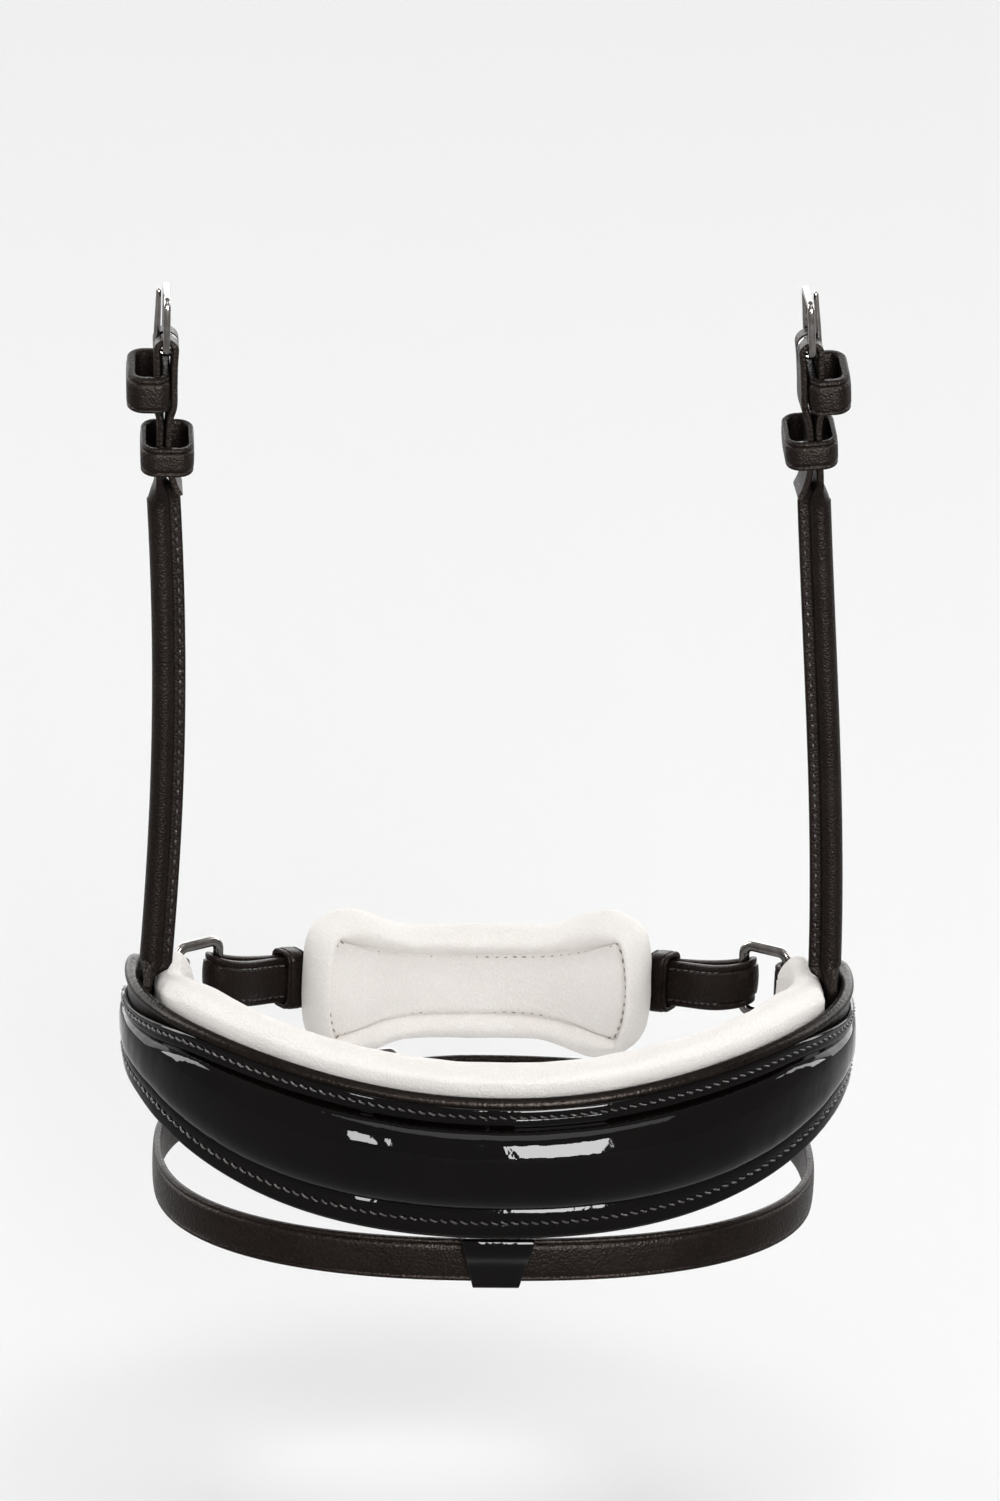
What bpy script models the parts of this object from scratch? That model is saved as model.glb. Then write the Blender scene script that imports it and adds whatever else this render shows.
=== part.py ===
"""Padded noseband with a chin piece, a flash strap and two cheek straps.

X runs across the nose, Y from the front of the noseband to the chin, Z up the cheeks.
The origin is the middle of the nose pad's inner face, where the noseband rests on the nose.
Shapes are worked out about the loop's own centre and moved to the origin when objects are made.
"""
import math

import bmesh
import bpy
from mathutils import Vector, geometry

MM = 0.001

# Clearances
GAP = 0.35 * MM
RUNNING_GAP = 0.6 * MM

# Noseband plan: a superellipse on the outer face of the backing
BAND_HALF_WIDTH = 113.3 * MM
BAND_FRONT_DEPTH = 80.0 * MM
BAND_REAR_DEPTH = 60.0 * MM
BAND_POWER = 2.1
BAND_END_ANGLE = 118.9
BAND_STATIONS = 34

# Noseband heights: top and bottom edge at the front, the side and the end
TOP_FRONT = 14.5 * MM
TOP_SIDE = 25.5 * MM
TOP_HOLLOW = 11.5 * MM
BOTTOM_FRONT = -32.0 * MM
BOTTOM_SIDE = -7.0 * MM
BOTTOM_HOLLOW = -12.0 * MM
TAB_HEIGHT = 7.0 * MM
TAB_WIDTH = 15.0 * MM
EAR_ANGLE = 96.0

# Noseband layers
BACKING_THICKNESS = 3.0 * MM
EDGE_ROUNDING = 0.9 * MM
PATENT_THICKNESS = 1.2 * MM
PATENT_END_ANGLE = 104.0
PATENT_TOP_INSET = 2.8 * MM
PATENT_TOP_INSET_SIDE = 9.0 * MM
PATENT_BOTTOM_INSET = 1.2 * MM
PATENT_BOTTOM_INSET_SIDE = 2.2 * MM
PATENT_SIDE_SPAN = (50.0, 90.0)
PATENT_CLOSE_SPAN = (93.0, 105.0)
FLANGE_TOP = 6.2 * MM
FLANGE_BOTTOM = 9.4 * MM
DOME_HEIGHT = 6.3 * MM
DOME_HEIGHT_SIDE = 0.9 * MM
DOME_SPAN = (22.0, 88.0)
FILLER_END_ANGLE = 84.0
FILLER_INSET = 1.2 * MM

# Nose pad
PAD_THICKNESS = 14.0 * MM
PAD_END_THICKNESS = 7.5 * MM
PAD_COVER_THICKNESS = 1.0 * MM
PAD_END_ANGLE = 116.0
PAD_RISE = 8.6 * MM
PAD_SIDE_DROP = 10.2 * MM
PAD_END_LIFT = 8.0 * MM
PAD_DROP = 0.5 * MM
PAD_DROP_FLANK = 3.6 * MM
PAD_FLAT = 6.0 * MM
POCKET_SLACK = 1.1 * MM
POCKET_SPAN = (66.0, 80.0)
PAD_THIN_SPAN = (70.0, 113.0)
PAD_SIDE_SPAN = (58.0, 92.0)
PAD_END_SPAN = (94.0, 112.0)
PAD_FLANK_SPAN = (12.0, 37.0)
PAD_FLANK_END_SPAN = (62.0, 87.0)

# Tabs and crank rings
TAB_THICKNESS = 1.8 * MM
TAB_LENGTH = 13.0 * MM
TAB_SLACK = 0.4 * MM
RING_BAR = 3.4 * MM
RING_THICKNESS = 2.4 * MM
RING_LENGTH = 18.8 * MM
RING_INNER_HEIGHT = 19.0 * MM
RING_CORNER = 3.0 * MM
RING_TURN = 32.7

# Chin piece
CHIN_DEPTH = 76.0 * MM
CHIN_FLAT = 10.0 * MM
CHIN_BEND_RADIUS = 63.0 * MM
CHIN_HEIGHT = -8.0 * MM
CHIN_SWEEP = 3.2
CHIN_PAD_HALF_LENGTH = 61.5 * MM
CHIN_PAD_WAIST = 19.2 * MM
CHIN_PAD_FLARE = 10.4 * MM
CHIN_PAD_LOWER_FLARE = 7.8 * MM
CHIN_PAD_FLARE_SPAN = (21.0 * MM, 51.0 * MM)
CHIN_PAD_SQUARENESS = 0.48
CHIN_ROUTE_INSET = 3.0 * MM
CHIN_HANDLE = 12.0 * MM
CHIN_PAD_THICKNESS = 12.6 * MM
CHIN_PANEL_THICKNESS = 8.4 * MM
CHIN_BORDER_WIDTH = 8.3 * MM
CHIN_BACKING_INSET = 5.2 * MM
CHIN_FORM_STEPS = 36
CHIN_BACKING_THICKNESS = 2.0 * MM
CHIN_STRAP_WIDTH = 15.4 * MM
CHIN_STRAP_THICKNESS = 2.0 * MM
CHIN_STRAP_DROP = 2.0 * MM
CHIN_KEEPER_PLACE = 61.5 * MM
CHIN_KEEPER_WIDTH = 8.0 * MM
CHIN_BUCKLE_PLACE = 22.0 * MM
CHIN_TAIL_END = 4.0 * MM
CHIN_TAIL_KEEPER_PLACE = 9.0 * MM
CHIN_TAIL_KEEPER_WIDTH = 7.0 * MM
CHIN_SPREAD_START = 65.5 * MM
CHIN_CHAPE_START = 3.0 * MM
STRAP_EASE = 3.0 * MM

# Flash strap and its loop
FLASH_SIDE_INSET = 10.3 * MM
FLASH_FRONT_INSET = 7.4 * MM
FLASH_HALF_WIDTH = BAND_HALF_WIDTH - FLASH_SIDE_INSET
FLASH_DEPTH = BAND_FRONT_DEPTH - FLASH_FRONT_INSET
FLASH_POWER = 2.4
FLASH_HEIGHT = -42.0 * MM
FLASH_WIDTH = 14.0 * MM
FLASH_THICKNESS = 2.4 * MM
FLASH_BUCKLE_X = -41.0 * MM
FLASH_BACK_LEAF = 22.0 * MM
FLASH_TAIL = 42.0 * MM
FLASH_LEAD_STEPS = 24
FLASH_FOLD_RUN = 8.0 * MM
FLASH_LAP = 46.0 * MM
FLASH_LAP_EASE = 10.0 * MM
FLASH_FAR_RISE = 2.2 * MM
FLASH_KEEPER_PLACE = 9.0 * MM
FLASH_KEEPER_WIDTH = 8.0 * MM
FLASH_RUNNER_PLACE = 29.0 * MM
FLASH_LOOP_THICKNESS = 1.2 * MM
FLASH_LOOP_TOP_WIDTH = 22.5 * MM
FLASH_LOOP_BOTTOM_WIDTH = 14.5 * MM
FLASH_LOOP_CORNER = 1.2 * MM

# Buckles: a frame, a prong and the fold of leather on the frame's heel bar
BUCKLE_REACH = 16.0 * MM
BUCKLE_BAR = 2.5 * MM
BUCKLE_THICKNESS = 2.2 * MM
BUCKLE_CORNER = 2.0 * MM
PRONG_DIAMETER = 2.0 * MM
PRONG_OVERHANG = 1.2 * MM
PRONG_WRAP_ANGLE = 265.0
PRONG_SLOT = 3.4 * MM
PRONG_HOLE_START = 2.0 * MM
SLOT_DEPTH = 6.0 * MM
CHAPE_THICKNESS = 1.6 * MM
KEEPER_THICKNESS = 1.7 * MM
KEEPER_WIDTH = 9.0 * MM
KEEPER_CORNER = 2.4 * MM

# Cheek straps: the left and right one follow their own lines, as leather does
CHEEK_WIDTH = 15.0 * MM
CHEEK_THICKNESS = 2.2 * MM
CHEEK_ROOT_THICKNESS = 3.0 * MM
CHEEK_Y = -2.0 * MM
CHEEK_ROOT_Z = 12.0 * MM
CHEEK_TOP_Z = 180.0 * MM
CHEEK_ROLL_BACK = 3.7 * MM
CHEEK_ROLL_DEPTH = 3.9 * MM
CHEEK_HALF_ROLL = 5.0 * MM
CHEEK_FLANGE = 1.1 * MM
CHEEK_EDGE_CUT = 0.3 * MM
CHEEK_ROLL_EASE = 8.0 * MM
CHEEK_TAIL = 46.0 * MM
CHEEK_TAIL_CURL = 3.6 * MM
CHEEK_KEEPER_DROP = 11.6 * MM
CHEEK_KEEPER_WIDTH = 11.0 * MM
CHEEK_KEEPER_BULGE = 11.2 * MM
CHEEK_KEEPER_CORNER = 4.0 * MM
CHEEK_KEEPER_TILT = 11.0
CHEEK_RUNNER_REACH_IN = 9.0 * MM
CHEEK_RUNNER_REACH_OUT = 7.1 * MM
CHEEK_HANDLE = 60.0 * MM
CHEEK_ROLL_START = 16.0 * MM
CHEEK_ROLL_END = 49.0 * MM
CHEEK_LEAVES_APART = (5.0 * MM, 17.5 * MM)
CHEEK_LEAVES_TOGETHER = 23.0 * MM
CHEEK_LINES = {
    "left": {
        "side": -1, "root_inset": 7.4 * MM, "top_inset": 8.2 * MM, "bow": -4.2 * MM,
        "lean": 0.0, "buckle": 229.0 * MM, "runner_drop": 33.0 * MM,
    },
    "right": {
        "side": 1, "root_inset": 7.9 * MM, "top_inset": 18.5 * MM, "bow": 0.0,
        "lean": 4.5, "buckle": 231.0 * MM, "runner_drop": 30.0 * MM,
    },
}
SIDES = {"left": -1, "right": 1}

# Finishes: colour, roughness, metallic
FINISHES = {
    "patent": ((0.012, 0.011, 0.012), 0.06, 0.0),
    "black_leather": ((0.030, 0.027, 0.026), 0.45, 0.0),
    "white_leather": ((0.84, 0.81, 0.78), 0.48, 0.0),
    "foam": ((0.80, 0.76, 0.68), 0.90, 0.0),
    "steel": ((0.42, 0.41, 0.40), 0.25, 1.0),
}


def ease(value):
    """Smooth step from 0 to 1."""
    value = min(max(value, 0.0), 1.0)
    return value * value * (3.0 - 2.0 * value)


def mix(start, end, share):
    return start + (end - start) * share


def blend(place, span):
    """Smooth step over a span of angles or lengths, alike on both sides of the middle."""
    return ease((abs(place) - span[0]) / (span[1] - span[0]))


def superellipse(angle, half_width, depth, power):
    """Plan point at an angle from the front, with its outward direction."""
    sine = math.sin(angle)
    cosine = math.cos(angle)
    x = math.copysign(half_width * abs(sine) ** (2.0 / power), sine)
    y = -math.copysign(depth * abs(cosine) ** (2.0 / power), cosine)
    slope_x = math.copysign(abs(x / half_width) ** (power - 1.0) / half_width, x)
    slope_y = math.copysign(abs(y / depth) ** (power - 1.0) / depth, y)
    return Vector((x, y, 0.0)), Vector((slope_x, slope_y, 0.0)).normalized()


def band_place(degrees, inward, height):
    """A point of the noseband: angle from the front, distance in from the outer face, height."""
    depth = BAND_FRONT_DEPTH if abs(degrees) < 90.0 else BAND_REAR_DEPTH
    point, outward = superellipse(math.radians(degrees), BAND_HALF_WIDTH, depth, BAND_POWER)
    point -= outward * inward
    point.z = height
    return point


def band_angles(limit):
    """Stations along the noseband within a limit; none falls on the middle."""
    step = 2.0 * BAND_END_ANGLE / (BAND_STATIONS - 1)
    angles = [-BAND_END_ANGLE + step * index for index in range(BAND_STATIONS)]
    return [angle for angle in angles if abs(angle) <= limit + step / 2.0]


def side_share(degrees):
    """0 at the front of the noseband and 1 at its side, by distance across."""
    if abs(degrees) > 90.0:
        return 1.0
    return math.sin(math.radians(degrees)) ** 2


def band_top(degrees):
    share = side_share(degrees)
    edge = mix(TOP_FRONT, TOP_SIDE, share) + TOP_HOLLOW * share * (1.0 - share)
    tab_edge = TAB_HEIGHT + TAB_WIDTH / 2.0
    return mix(edge, tab_edge, blend(degrees, (EAR_ANGLE, BAND_END_ANGLE)))


def band_bottom(degrees):
    share = side_share(degrees)
    edge = mix(BOTTOM_FRONT, BOTTOM_SIDE, share) + BOTTOM_HOLLOW * share * (1.0 - share)
    tab_edge = TAB_HEIGHT - TAB_WIDTH / 2.0
    return mix(edge, tab_edge, blend(degrees, (90.0, BAND_END_ANGLE)))


# Nose pad section
def pad_offset(degrees):
    """Distance from the backing's outer face to the pad: wider where a strap or tab lies between."""
    pocket = CHEEK_ROOT_THICKNESS + 2.0 * GAP + POCKET_SLACK
    return BACKING_THICKNESS + GAP + pocket * blend(degrees, POCKET_SPAN)


def pad_thickness(degrees):
    return mix(PAD_THICKNESS, PAD_END_THICKNESS, blend(degrees, PAD_THIN_SPAN))


def pad_top(degrees):
    side_drop = PAD_SIDE_DROP * blend(degrees, PAD_SIDE_SPAN)
    end_lift = PAD_END_LIFT * blend(degrees, PAD_END_SPAN)
    return band_top(degrees) + PAD_RISE - side_drop + end_lift


def pad_bottom(degrees):
    flank = blend(degrees, PAD_FLANK_SPAN) * (1.0 - blend(degrees, PAD_FLANK_END_SPAN))
    return band_bottom(degrees) - mix(PAD_DROP, PAD_DROP_FLANK, flank)


PAD_SECTION = [(0.0, 5.0 * MM), (0.14, 1.7 * MM), (0.42, 0.2 * MM), (0.78, 1.9 * MM), (0.96, 6.0 * MM)]


def pad_profile(degrees):
    """The pad's outline as (inward, height), from its top over the inner face to its bottom."""
    thickness = pad_thickness(degrees)
    top = pad_top(degrees)
    bottom = pad_bottom(degrees)
    middle = (top + bottom) / 2.0
    squeeze = min(1.0, (top - bottom) / 2.0 / (2.0 * PAD_FLAT))
    start = pad_offset(degrees)
    upper = [(start + share * thickness, top - drop * squeeze) for share, drop in PAD_SECTION]
    lower = [(start + share * thickness, bottom + drop * squeeze) for share, drop in PAD_SECTION]
    face = [(start + thickness, middle + PAD_FLAT * squeeze * sign) for sign in (1, -1)]
    return upper + face + lower[::-1]


def foam_profile(degrees, margin):
    """The foam's outline: the pad's, drawn in by a margin, with its back against the noseband."""
    outer = pad_profile(degrees)
    last = len(outer) - 1
    inner = []
    for index, (inward, height) in enumerate(outer):
        before = outer[max(index - 1, 0)]
        after = outer[min(index + 1, last)]
        along = Vector((after[0] - before[0], after[1] - before[1])).normalized()
        inner.append((inward + along.y * margin, height - along.x * margin))
    middle = (inner[0][1] + inner[-1][1]) / 2.0
    half_back = 0.5 * (inner[0][1] - middle)
    start = pad_offset(degrees)
    return [(start, middle + half_back)] + inner + [(start, middle - half_back)]


MIDDLE_ANGLE = BAND_END_ANGLE / (BAND_STATIONS - 1)
PAD_FACE = band_place(MIDDLE_ANGLE, pad_offset(0.0) + pad_thickness(0.0), 0.0)
ORIGIN = Vector((0.0, PAD_FACE.y, (pad_top(MIDDLE_ANGLE) + pad_bottom(MIDDLE_ANGLE)) / 2.0))


class Route:
    """A line that straps follow: s runs along it, out leads away from the horse."""

    def __init__(self, points, across, turn, zero=0.0):
        self.points = points
        self.across = across
        self.turn = turn
        self.starts = [-zero]
        for first, second in zip(points, points[1:]):
            self.starts.append(self.starts[-1] + (second - first).length)
        last = len(points) - 1
        self.tangents = [
            (points[min(index + 1, last)] - points[max(index - 1, 0)]).normalized()
            for index in range(last + 1)
        ]

    def place(self, s, out=0.0, wide=0.0):
        index = 0
        while index < len(self.points) - 2 and self.starts[index + 1] < s:
            index += 1
        share = (s - self.starts[index]) / (self.starts[index + 1] - self.starts[index])
        point = self.points[index].lerp(self.points[index + 1], share)
        inside = min(max(share, 0.0), 1.0)
        tangent = self.tangents[index].lerp(self.tangents[index + 1], inside)
        outward = tangent.cross(self.across).normalized() * self.turn
        return point + outward * out + self.across * wide


def arc(s, out, radius, start, end, steps):
    """Points of an arc in a strap's own plane; angles run from out towards s."""
    angles = [math.radians(mix(start, end, index / steps)) for index in range(steps + 1)]
    return [(s + radius * math.sin(a), out + radius * math.cos(a)) for a in angles]


def rounded_rectangle(half_u, half_v, radii, corner_steps=3):
    """Points of a rectangle with round corners, anticlockwise; radii are for its low and its high u side."""
    points = []
    for quarter, (sign_u, sign_v) in enumerate(((1, 1), (-1, 1), (-1, -1), (1, -1))):
        radius = radii[max(sign_u, 0)]
        for step in range(corner_steps + 1):
            angle = math.radians(90.0 * (quarter + step / corner_steps))
            points.append((
                sign_u * (half_u - radius) + radius * math.cos(angle),
                sign_v * (half_v - radius) + radius * math.sin(angle),
            ))
    return points


# Objects
for old in list(bpy.data.objects):
    bpy.data.objects.remove(old, do_unlink=True)


def new_collection(name):
    collection = bpy.data.collections.get(name) or bpy.data.collections.new(name)
    if name not in bpy.context.scene.collection.children:
        bpy.context.scene.collection.children.link(collection)
    return collection


PARTS = new_collection("noseband")
CUTTERS = new_collection("noseband_cutters")


def make_material(name, finish):
    colour, roughness, metallic = FINISHES[finish]
    material = bpy.data.materials.new(name)
    material.use_nodes = True
    shader = material.node_tree.nodes["Principled BSDF"]
    shader.inputs["Base Color"].default_value = (*colour, 1.0)
    shader.inputs["Roughness"].default_value = roughness
    shader.inputs["Metallic"].default_value = metallic
    return material


def add_mesh(name, rings, finish, pivot=None, closed=False, caps=True, collection=PARTS):
    """Join rings of points with faces; the object's origin is the pivot."""
    pivot = ORIGIN if pivot is None else pivot
    mesh = bpy.data.meshes.new(name)
    shape = bmesh.new()
    rows = [[shape.verts.new(point - pivot) for point in ring] for ring in rings]
    pairs = list(zip(rows, rows[1:]))
    if closed:
        pairs.append((rows[-1], rows[0]))
    count = len(rows[0])
    for row, following in pairs:
        for index in range(count):
            after = (index + 1) % count
            shape.faces.new((row[index], row[after], following[after], following[index]))
    if caps and not closed:
        shape.faces.new(rows[0])
        shape.faces.new(rows[-1])
    bmesh.ops.recalc_face_normals(shape, faces=shape.faces)
    shape.to_mesh(mesh)
    shape.free()
    mesh.shade_smooth()
    mesh.set_sharp_from_angle(angle=math.radians(40.0))
    return add_object(name, mesh, finish, pivot, collection)


def add_object(name, data, finish, pivot, collection=PARTS):
    thing = bpy.data.objects.new(name, data)
    thing.location = pivot - ORIGIN
    if finish:
        data.materials.append(make_material(name, finish))
    collection.objects.link(thing)
    return thing


def add_sheet(name, rows, finish, thickness, rounding=0.0, side=1.0):
    """A curved sheet made thick on one side of its surface: 1 is along its normals."""
    mesh = bpy.data.meshes.new(name)
    shape = bmesh.new()
    grid = [[shape.verts.new(point - ORIGIN) for point in row] for row in rows]
    for row, following in zip(grid, grid[1:]):
        for index in range(len(row) - 1):
            shape.faces.new((row[index], row[index + 1], following[index + 1], following[index]))
    shape.to_mesh(mesh)
    shape.free()
    mesh.shade_smooth()
    mesh.set_sharp_from_angle(angle=math.radians(40.0))
    thing = add_object(name, mesh, finish, ORIGIN)
    solid = thing.modifiers.new("thickness", "SOLIDIFY")
    solid.thickness = thickness
    solid.offset = side
    solid.use_even_offset = True
    if rounding:
        bevel = thing.modifiers.new("edges", "BEVEL")
        bevel.width = rounding
        bevel.segments = 1
        bevel.limit_method = "ANGLE"
        bevel.angle_limit = math.radians(60.0)
    return thing


def strap_section(thickness, width):
    """A flat strap with chamfered edges, as (lift, wide) points."""
    cut = 0.22 * thickness
    half = thickness / 2.0
    wide = width / 2.0
    return [
        (half, wide - cut), (half - cut, wide), (cut - half, wide), (-half, wide - cut),
        (-half, cut - wide), (cut - half, -wide), (half - cut, -wide), (half, cut - wide),
    ]


def add_strip(name, route, profile, sections, finish, pivot=None):
    """A strap along a profile of (s, out) points, with one section or one for each point."""
    rings = []
    last = len(profile) - 1
    if not isinstance(sections[0], list):
        sections = [sections] * (last + 1)
    for index, (s, out) in enumerate(profile):
        before = profile[max(index - 1, 0)]
        after = profile[min(index + 1, last)]
        along = Vector((after[0] - before[0], after[1] - before[1])).normalized()
        normal = Vector((-along.y, along.x))
        rings.append([
            route.place(s + normal.x * lift, out + normal.y * lift, wide)
            for lift, wide in sections[index]
        ])
    return add_mesh(name, rings, finish, pivot)


def add_hoop(name, outline, section, place, finish, pivot=None):
    """A closed band or bar: an outline in one plane, a section of (outward, sideways) points."""
    rings = []
    count = len(outline)
    for index, (u, v) in enumerate(outline):
        before = outline[index - 1]
        after = outline[(index + 1) % count]
        along = Vector((after[0] - before[0], after[1] - before[1])).normalized()
        rings.append([
            place(u + along.y * outward, v - along.x * outward, sideways)
            for outward, sideways in section
        ])
    return add_mesh(name, rings, finish, pivot, closed=True)


def bar_section(width, thickness):
    """An eight-sided bar with flat faces."""
    a = width / 2.0
    b = thickness / 2.0
    cut = 0.55 * min(a, b)
    return [
        (a, b - cut), (a - cut, b), (cut - a, b), (-a, b - cut),
        (-a, cut - b), (cut - a, -b), (a - cut, -b), (a, cut - b),
    ]


def band_section(thickness, width):
    """A flat band of leather."""
    a = thickness / 2.0
    b = width / 2.0
    return [(a, b), (-a, b), (-a, -b), (a, -b)]


def add_wire(name, points, diameter, tip_share, finish, pivot):
    """A round wire through points, narrower at its tip."""
    curve = bpy.data.curves.new(name, "CURVE")
    curve.dimensions = "3D"
    curve.bevel_depth = diameter / 2.0
    curve.bevel_resolution = 2
    curve.use_fill_caps = True
    spline = curve.splines.new("POLY")
    spline.points.add(len(points) - 1)
    for index, point in enumerate(points):
        spline.points[index].co = (*(point - pivot), 1.0)
        spline.points[index].radius = 1.0
    spline.points[-1].radius = tip_share
    return add_object(name, curve, finish, pivot)


def cut_box(thing, centre, half_sizes, axes, name):
    """Cut a box from an object; its axes are three directions."""
    corners = []
    for sign in (-1, 1):
        ring = []
        for sign_u, sign_v in ((-1, -1), (1, -1), (1, 1), (-1, 1)):
            ring.append(
                centre + axes[0] * half_sizes[0] * sign
                + axes[1] * half_sizes[1] * sign_u + axes[2] * half_sizes[2] * sign_v
            )
        corners.append(ring)
    cutter = add_mesh(name, corners, None, collection=CUTTERS)
    cutter.hide_render = True
    cutter.display_type = "WIRE"
    boolean = thing.modifiers.new(name, "BOOLEAN")
    boolean.operation = "DIFFERENCE"
    boolean.object = cutter


# Noseband
def build_backing():
    rows = []
    for angle in band_angles(BAND_END_ANGLE):
        top = band_top(angle)
        bottom = band_bottom(angle)
        rows.append([band_place(angle, 0.0, mix(bottom, top, share)) for share in (0, 0.33, 0.67, 1)])
    add_sheet("nose_backing", rows, "black_leather", BACKING_THICKNESS, EDGE_ROUNDING)


def patent_edges(degrees):
    """Bottom and top edge of the patent, which close in towards its ends."""
    side = blend(degrees, PATENT_SIDE_SPAN)
    top = band_top(degrees) - mix(PATENT_TOP_INSET, PATENT_TOP_INSET_SIDE, side)
    bottom = band_bottom(degrees) + mix(PATENT_BOTTOM_INSET, PATENT_BOTTOM_INSET_SIDE, side)
    close = 0.30 * blend(degrees, PATENT_CLOSE_SPAN) * (top - bottom)
    return bottom + close, top - close


def dome_height(degrees):
    return mix(DOME_HEIGHT, DOME_HEIGHT_SIDE, blend(degrees, DOME_SPAN))


DOME_SHARES = (0.0, 0.06, 0.17, 0.33, 0.5, 0.67, 0.83, 0.94, 1.0)


def dome_shape(share):
    return (1.0 - abs(2.0 * share - 1.0) ** 2.6) ** 0.6


def dome_bounds(degrees):
    bottom, top = patent_edges(degrees)
    height = top - bottom
    return bottom + min(FLANGE_BOTTOM, 0.3 * height), top - min(FLANGE_TOP, 0.2 * height)


def build_patent():
    rows = []
    for angle in band_angles(PATENT_END_ANGLE):
        bottom, top = patent_edges(angle)
        low, high = dome_bounds(angle)
        height = dome_height(angle) + GAP
        row = [band_place(angle, -GAP, bottom)]
        for share in DOME_SHARES:
            row.append(band_place(angle, -GAP - height * dome_shape(share), mix(low, high, share)))
        row.append(band_place(angle, -GAP, top))
        rows.append(row)
    add_sheet("nose_patent", rows, "patent", PATENT_THICKNESS, side=-1.0)


def build_filler():
    rings = []
    for angle in band_angles(FILLER_END_ANGLE):
        low, high = dome_bounds(angle)
        low += FILLER_INSET
        high -= FILLER_INSET
        height = dome_height(angle)
        shares = DOME_SHARES[1:-1]
        ring = [
            band_place(angle, -GAP - (height - GAP / 2.0) * dome_shape(share), mix(low, high, share))
            for share in shares
        ]
        ring += [band_place(angle, -GAP, mix(low, high, share)) for share in shares[::-3]]
        rings.append(ring)
    add_mesh("nose_filler", rings, "foam")


def build_nose_pad():
    cover_rows = []
    foam_rings = []
    for angle in band_angles(PAD_END_ANGLE):
        cover = pad_profile(angle)
        cover_rows.append([band_place(angle, inward, height) for inward, height in cover])
    for angle in band_angles(PAD_END_ANGLE - 6.0):
        foam = foam_profile(angle, PAD_COVER_THICKNESS + 3.0 * GAP)
        foam_rings.append([band_place(angle, inward, height) for inward, height in foam])
    add_sheet("nose_pad_cover", cover_rows, "white_leather", PAD_COVER_THICKNESS)
    add_mesh("nose_pad_foam", foam_rings, "foam")


# Crank rings
def ring_bars(side):
    """Centres of a ring's front bar, in the noseband's tab, and rear bar, in the chin strap."""
    end = band_place(BAND_END_ANGLE * side, BACKING_THICKNESS / 2.0, TAB_HEIGHT)
    before = band_place((BAND_END_ANGLE - 2.0) * side, BACKING_THICKNESS / 2.0, TAB_HEIGHT)
    direction = (end - before).normalized()
    front = end + direction * (GAP + RUNNING_GAP + RING_BAR / 2.0)
    turn = math.radians(RING_TURN)
    span = RING_LENGTH - RING_BAR
    return front, front + Vector((-side * math.cos(turn), math.sin(turn), 0.0)) * span


def build_tab(name, side):
    """A tab folded round the ring's front bar, one leaf on each side of the backing."""
    front, _ = ring_bars(side)
    outer = -GAP - TAB_THICKNESS / 2.0
    inner = BACKING_THICKNESS + GAP + TAB_SLACK + TAB_THICKNESS / 2.0
    end = band_place(BAND_END_ANGLE * side, BACKING_THICKNESS / 2.0, TAB_HEIGHT)
    before = band_place((BAND_END_ANGLE - 1.0) * side, BACKING_THICKNESS / 2.0, TAB_HEIGHT)
    reach = TAB_LENGTH / (end - before).length
    angles = [BAND_END_ANGLE - reach * (1.0 - step / 3.0) for step in range(4)]
    axis = (front - end).normalized()
    across = (band_place(BAND_END_ANGLE * side, outer, TAB_HEIGHT) - end).normalized()
    radius = (inner - outer) / 2.0

    def leaf(angle, depth):
        place = band_place(angle * side, depth, TAB_HEIGHT)
        return place, (band_place(angle * side, depth - MM, TAB_HEIGHT) - place).normalized()

    path = [leaf(angle, outer) for angle in angles]
    for step in range(9):
        turn = math.radians(180.0 * step / 8.0)
        outward = across * math.cos(turn) + axis * math.sin(turn)
        path.append((front + outward * radius, outward))
    path += [(place, -outward) for place, outward in (leaf(angle, inner) for angle in angles[::-1])]
    up = Vector((0.0, 0.0, TAB_WIDTH / 2.0))
    rings = []
    for centre, outward in path:
        lift = outward * (TAB_THICKNESS / 2.0)
        rings.append([centre + lift + up, centre - lift + up, centre - lift - up, centre + lift - up])
    add_mesh(name, rings, "black_leather")


def build_ring(name, side):
    front, rear = ring_bars(side)
    route = Route([front, rear], Vector((0.0, 0.0, 1.0)), side)
    half_length = (RING_LENGTH - RING_BAR) / 2.0
    half_height = (RING_INNER_HEIGHT + RING_BAR) / 2.0
    outline = rounded_rectangle(half_length, half_height, (RING_CORNER, RING_CORNER))

    def place(u, v, sideways):
        return route.place(half_length + u, sideways, v)

    add_hoop(name, outline, bar_section(RING_BAR, RING_THICKNESS), place, "steel", front)


# Buckles
HEEL_RADIUS = 0.9 * math.hypot(BUCKLE_BAR / 2.0, BUCKLE_THICKNESS / 2.0)
PRONG_REACH = HEEL_RADIUS + GAP + PRONG_DIAMETER


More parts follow.
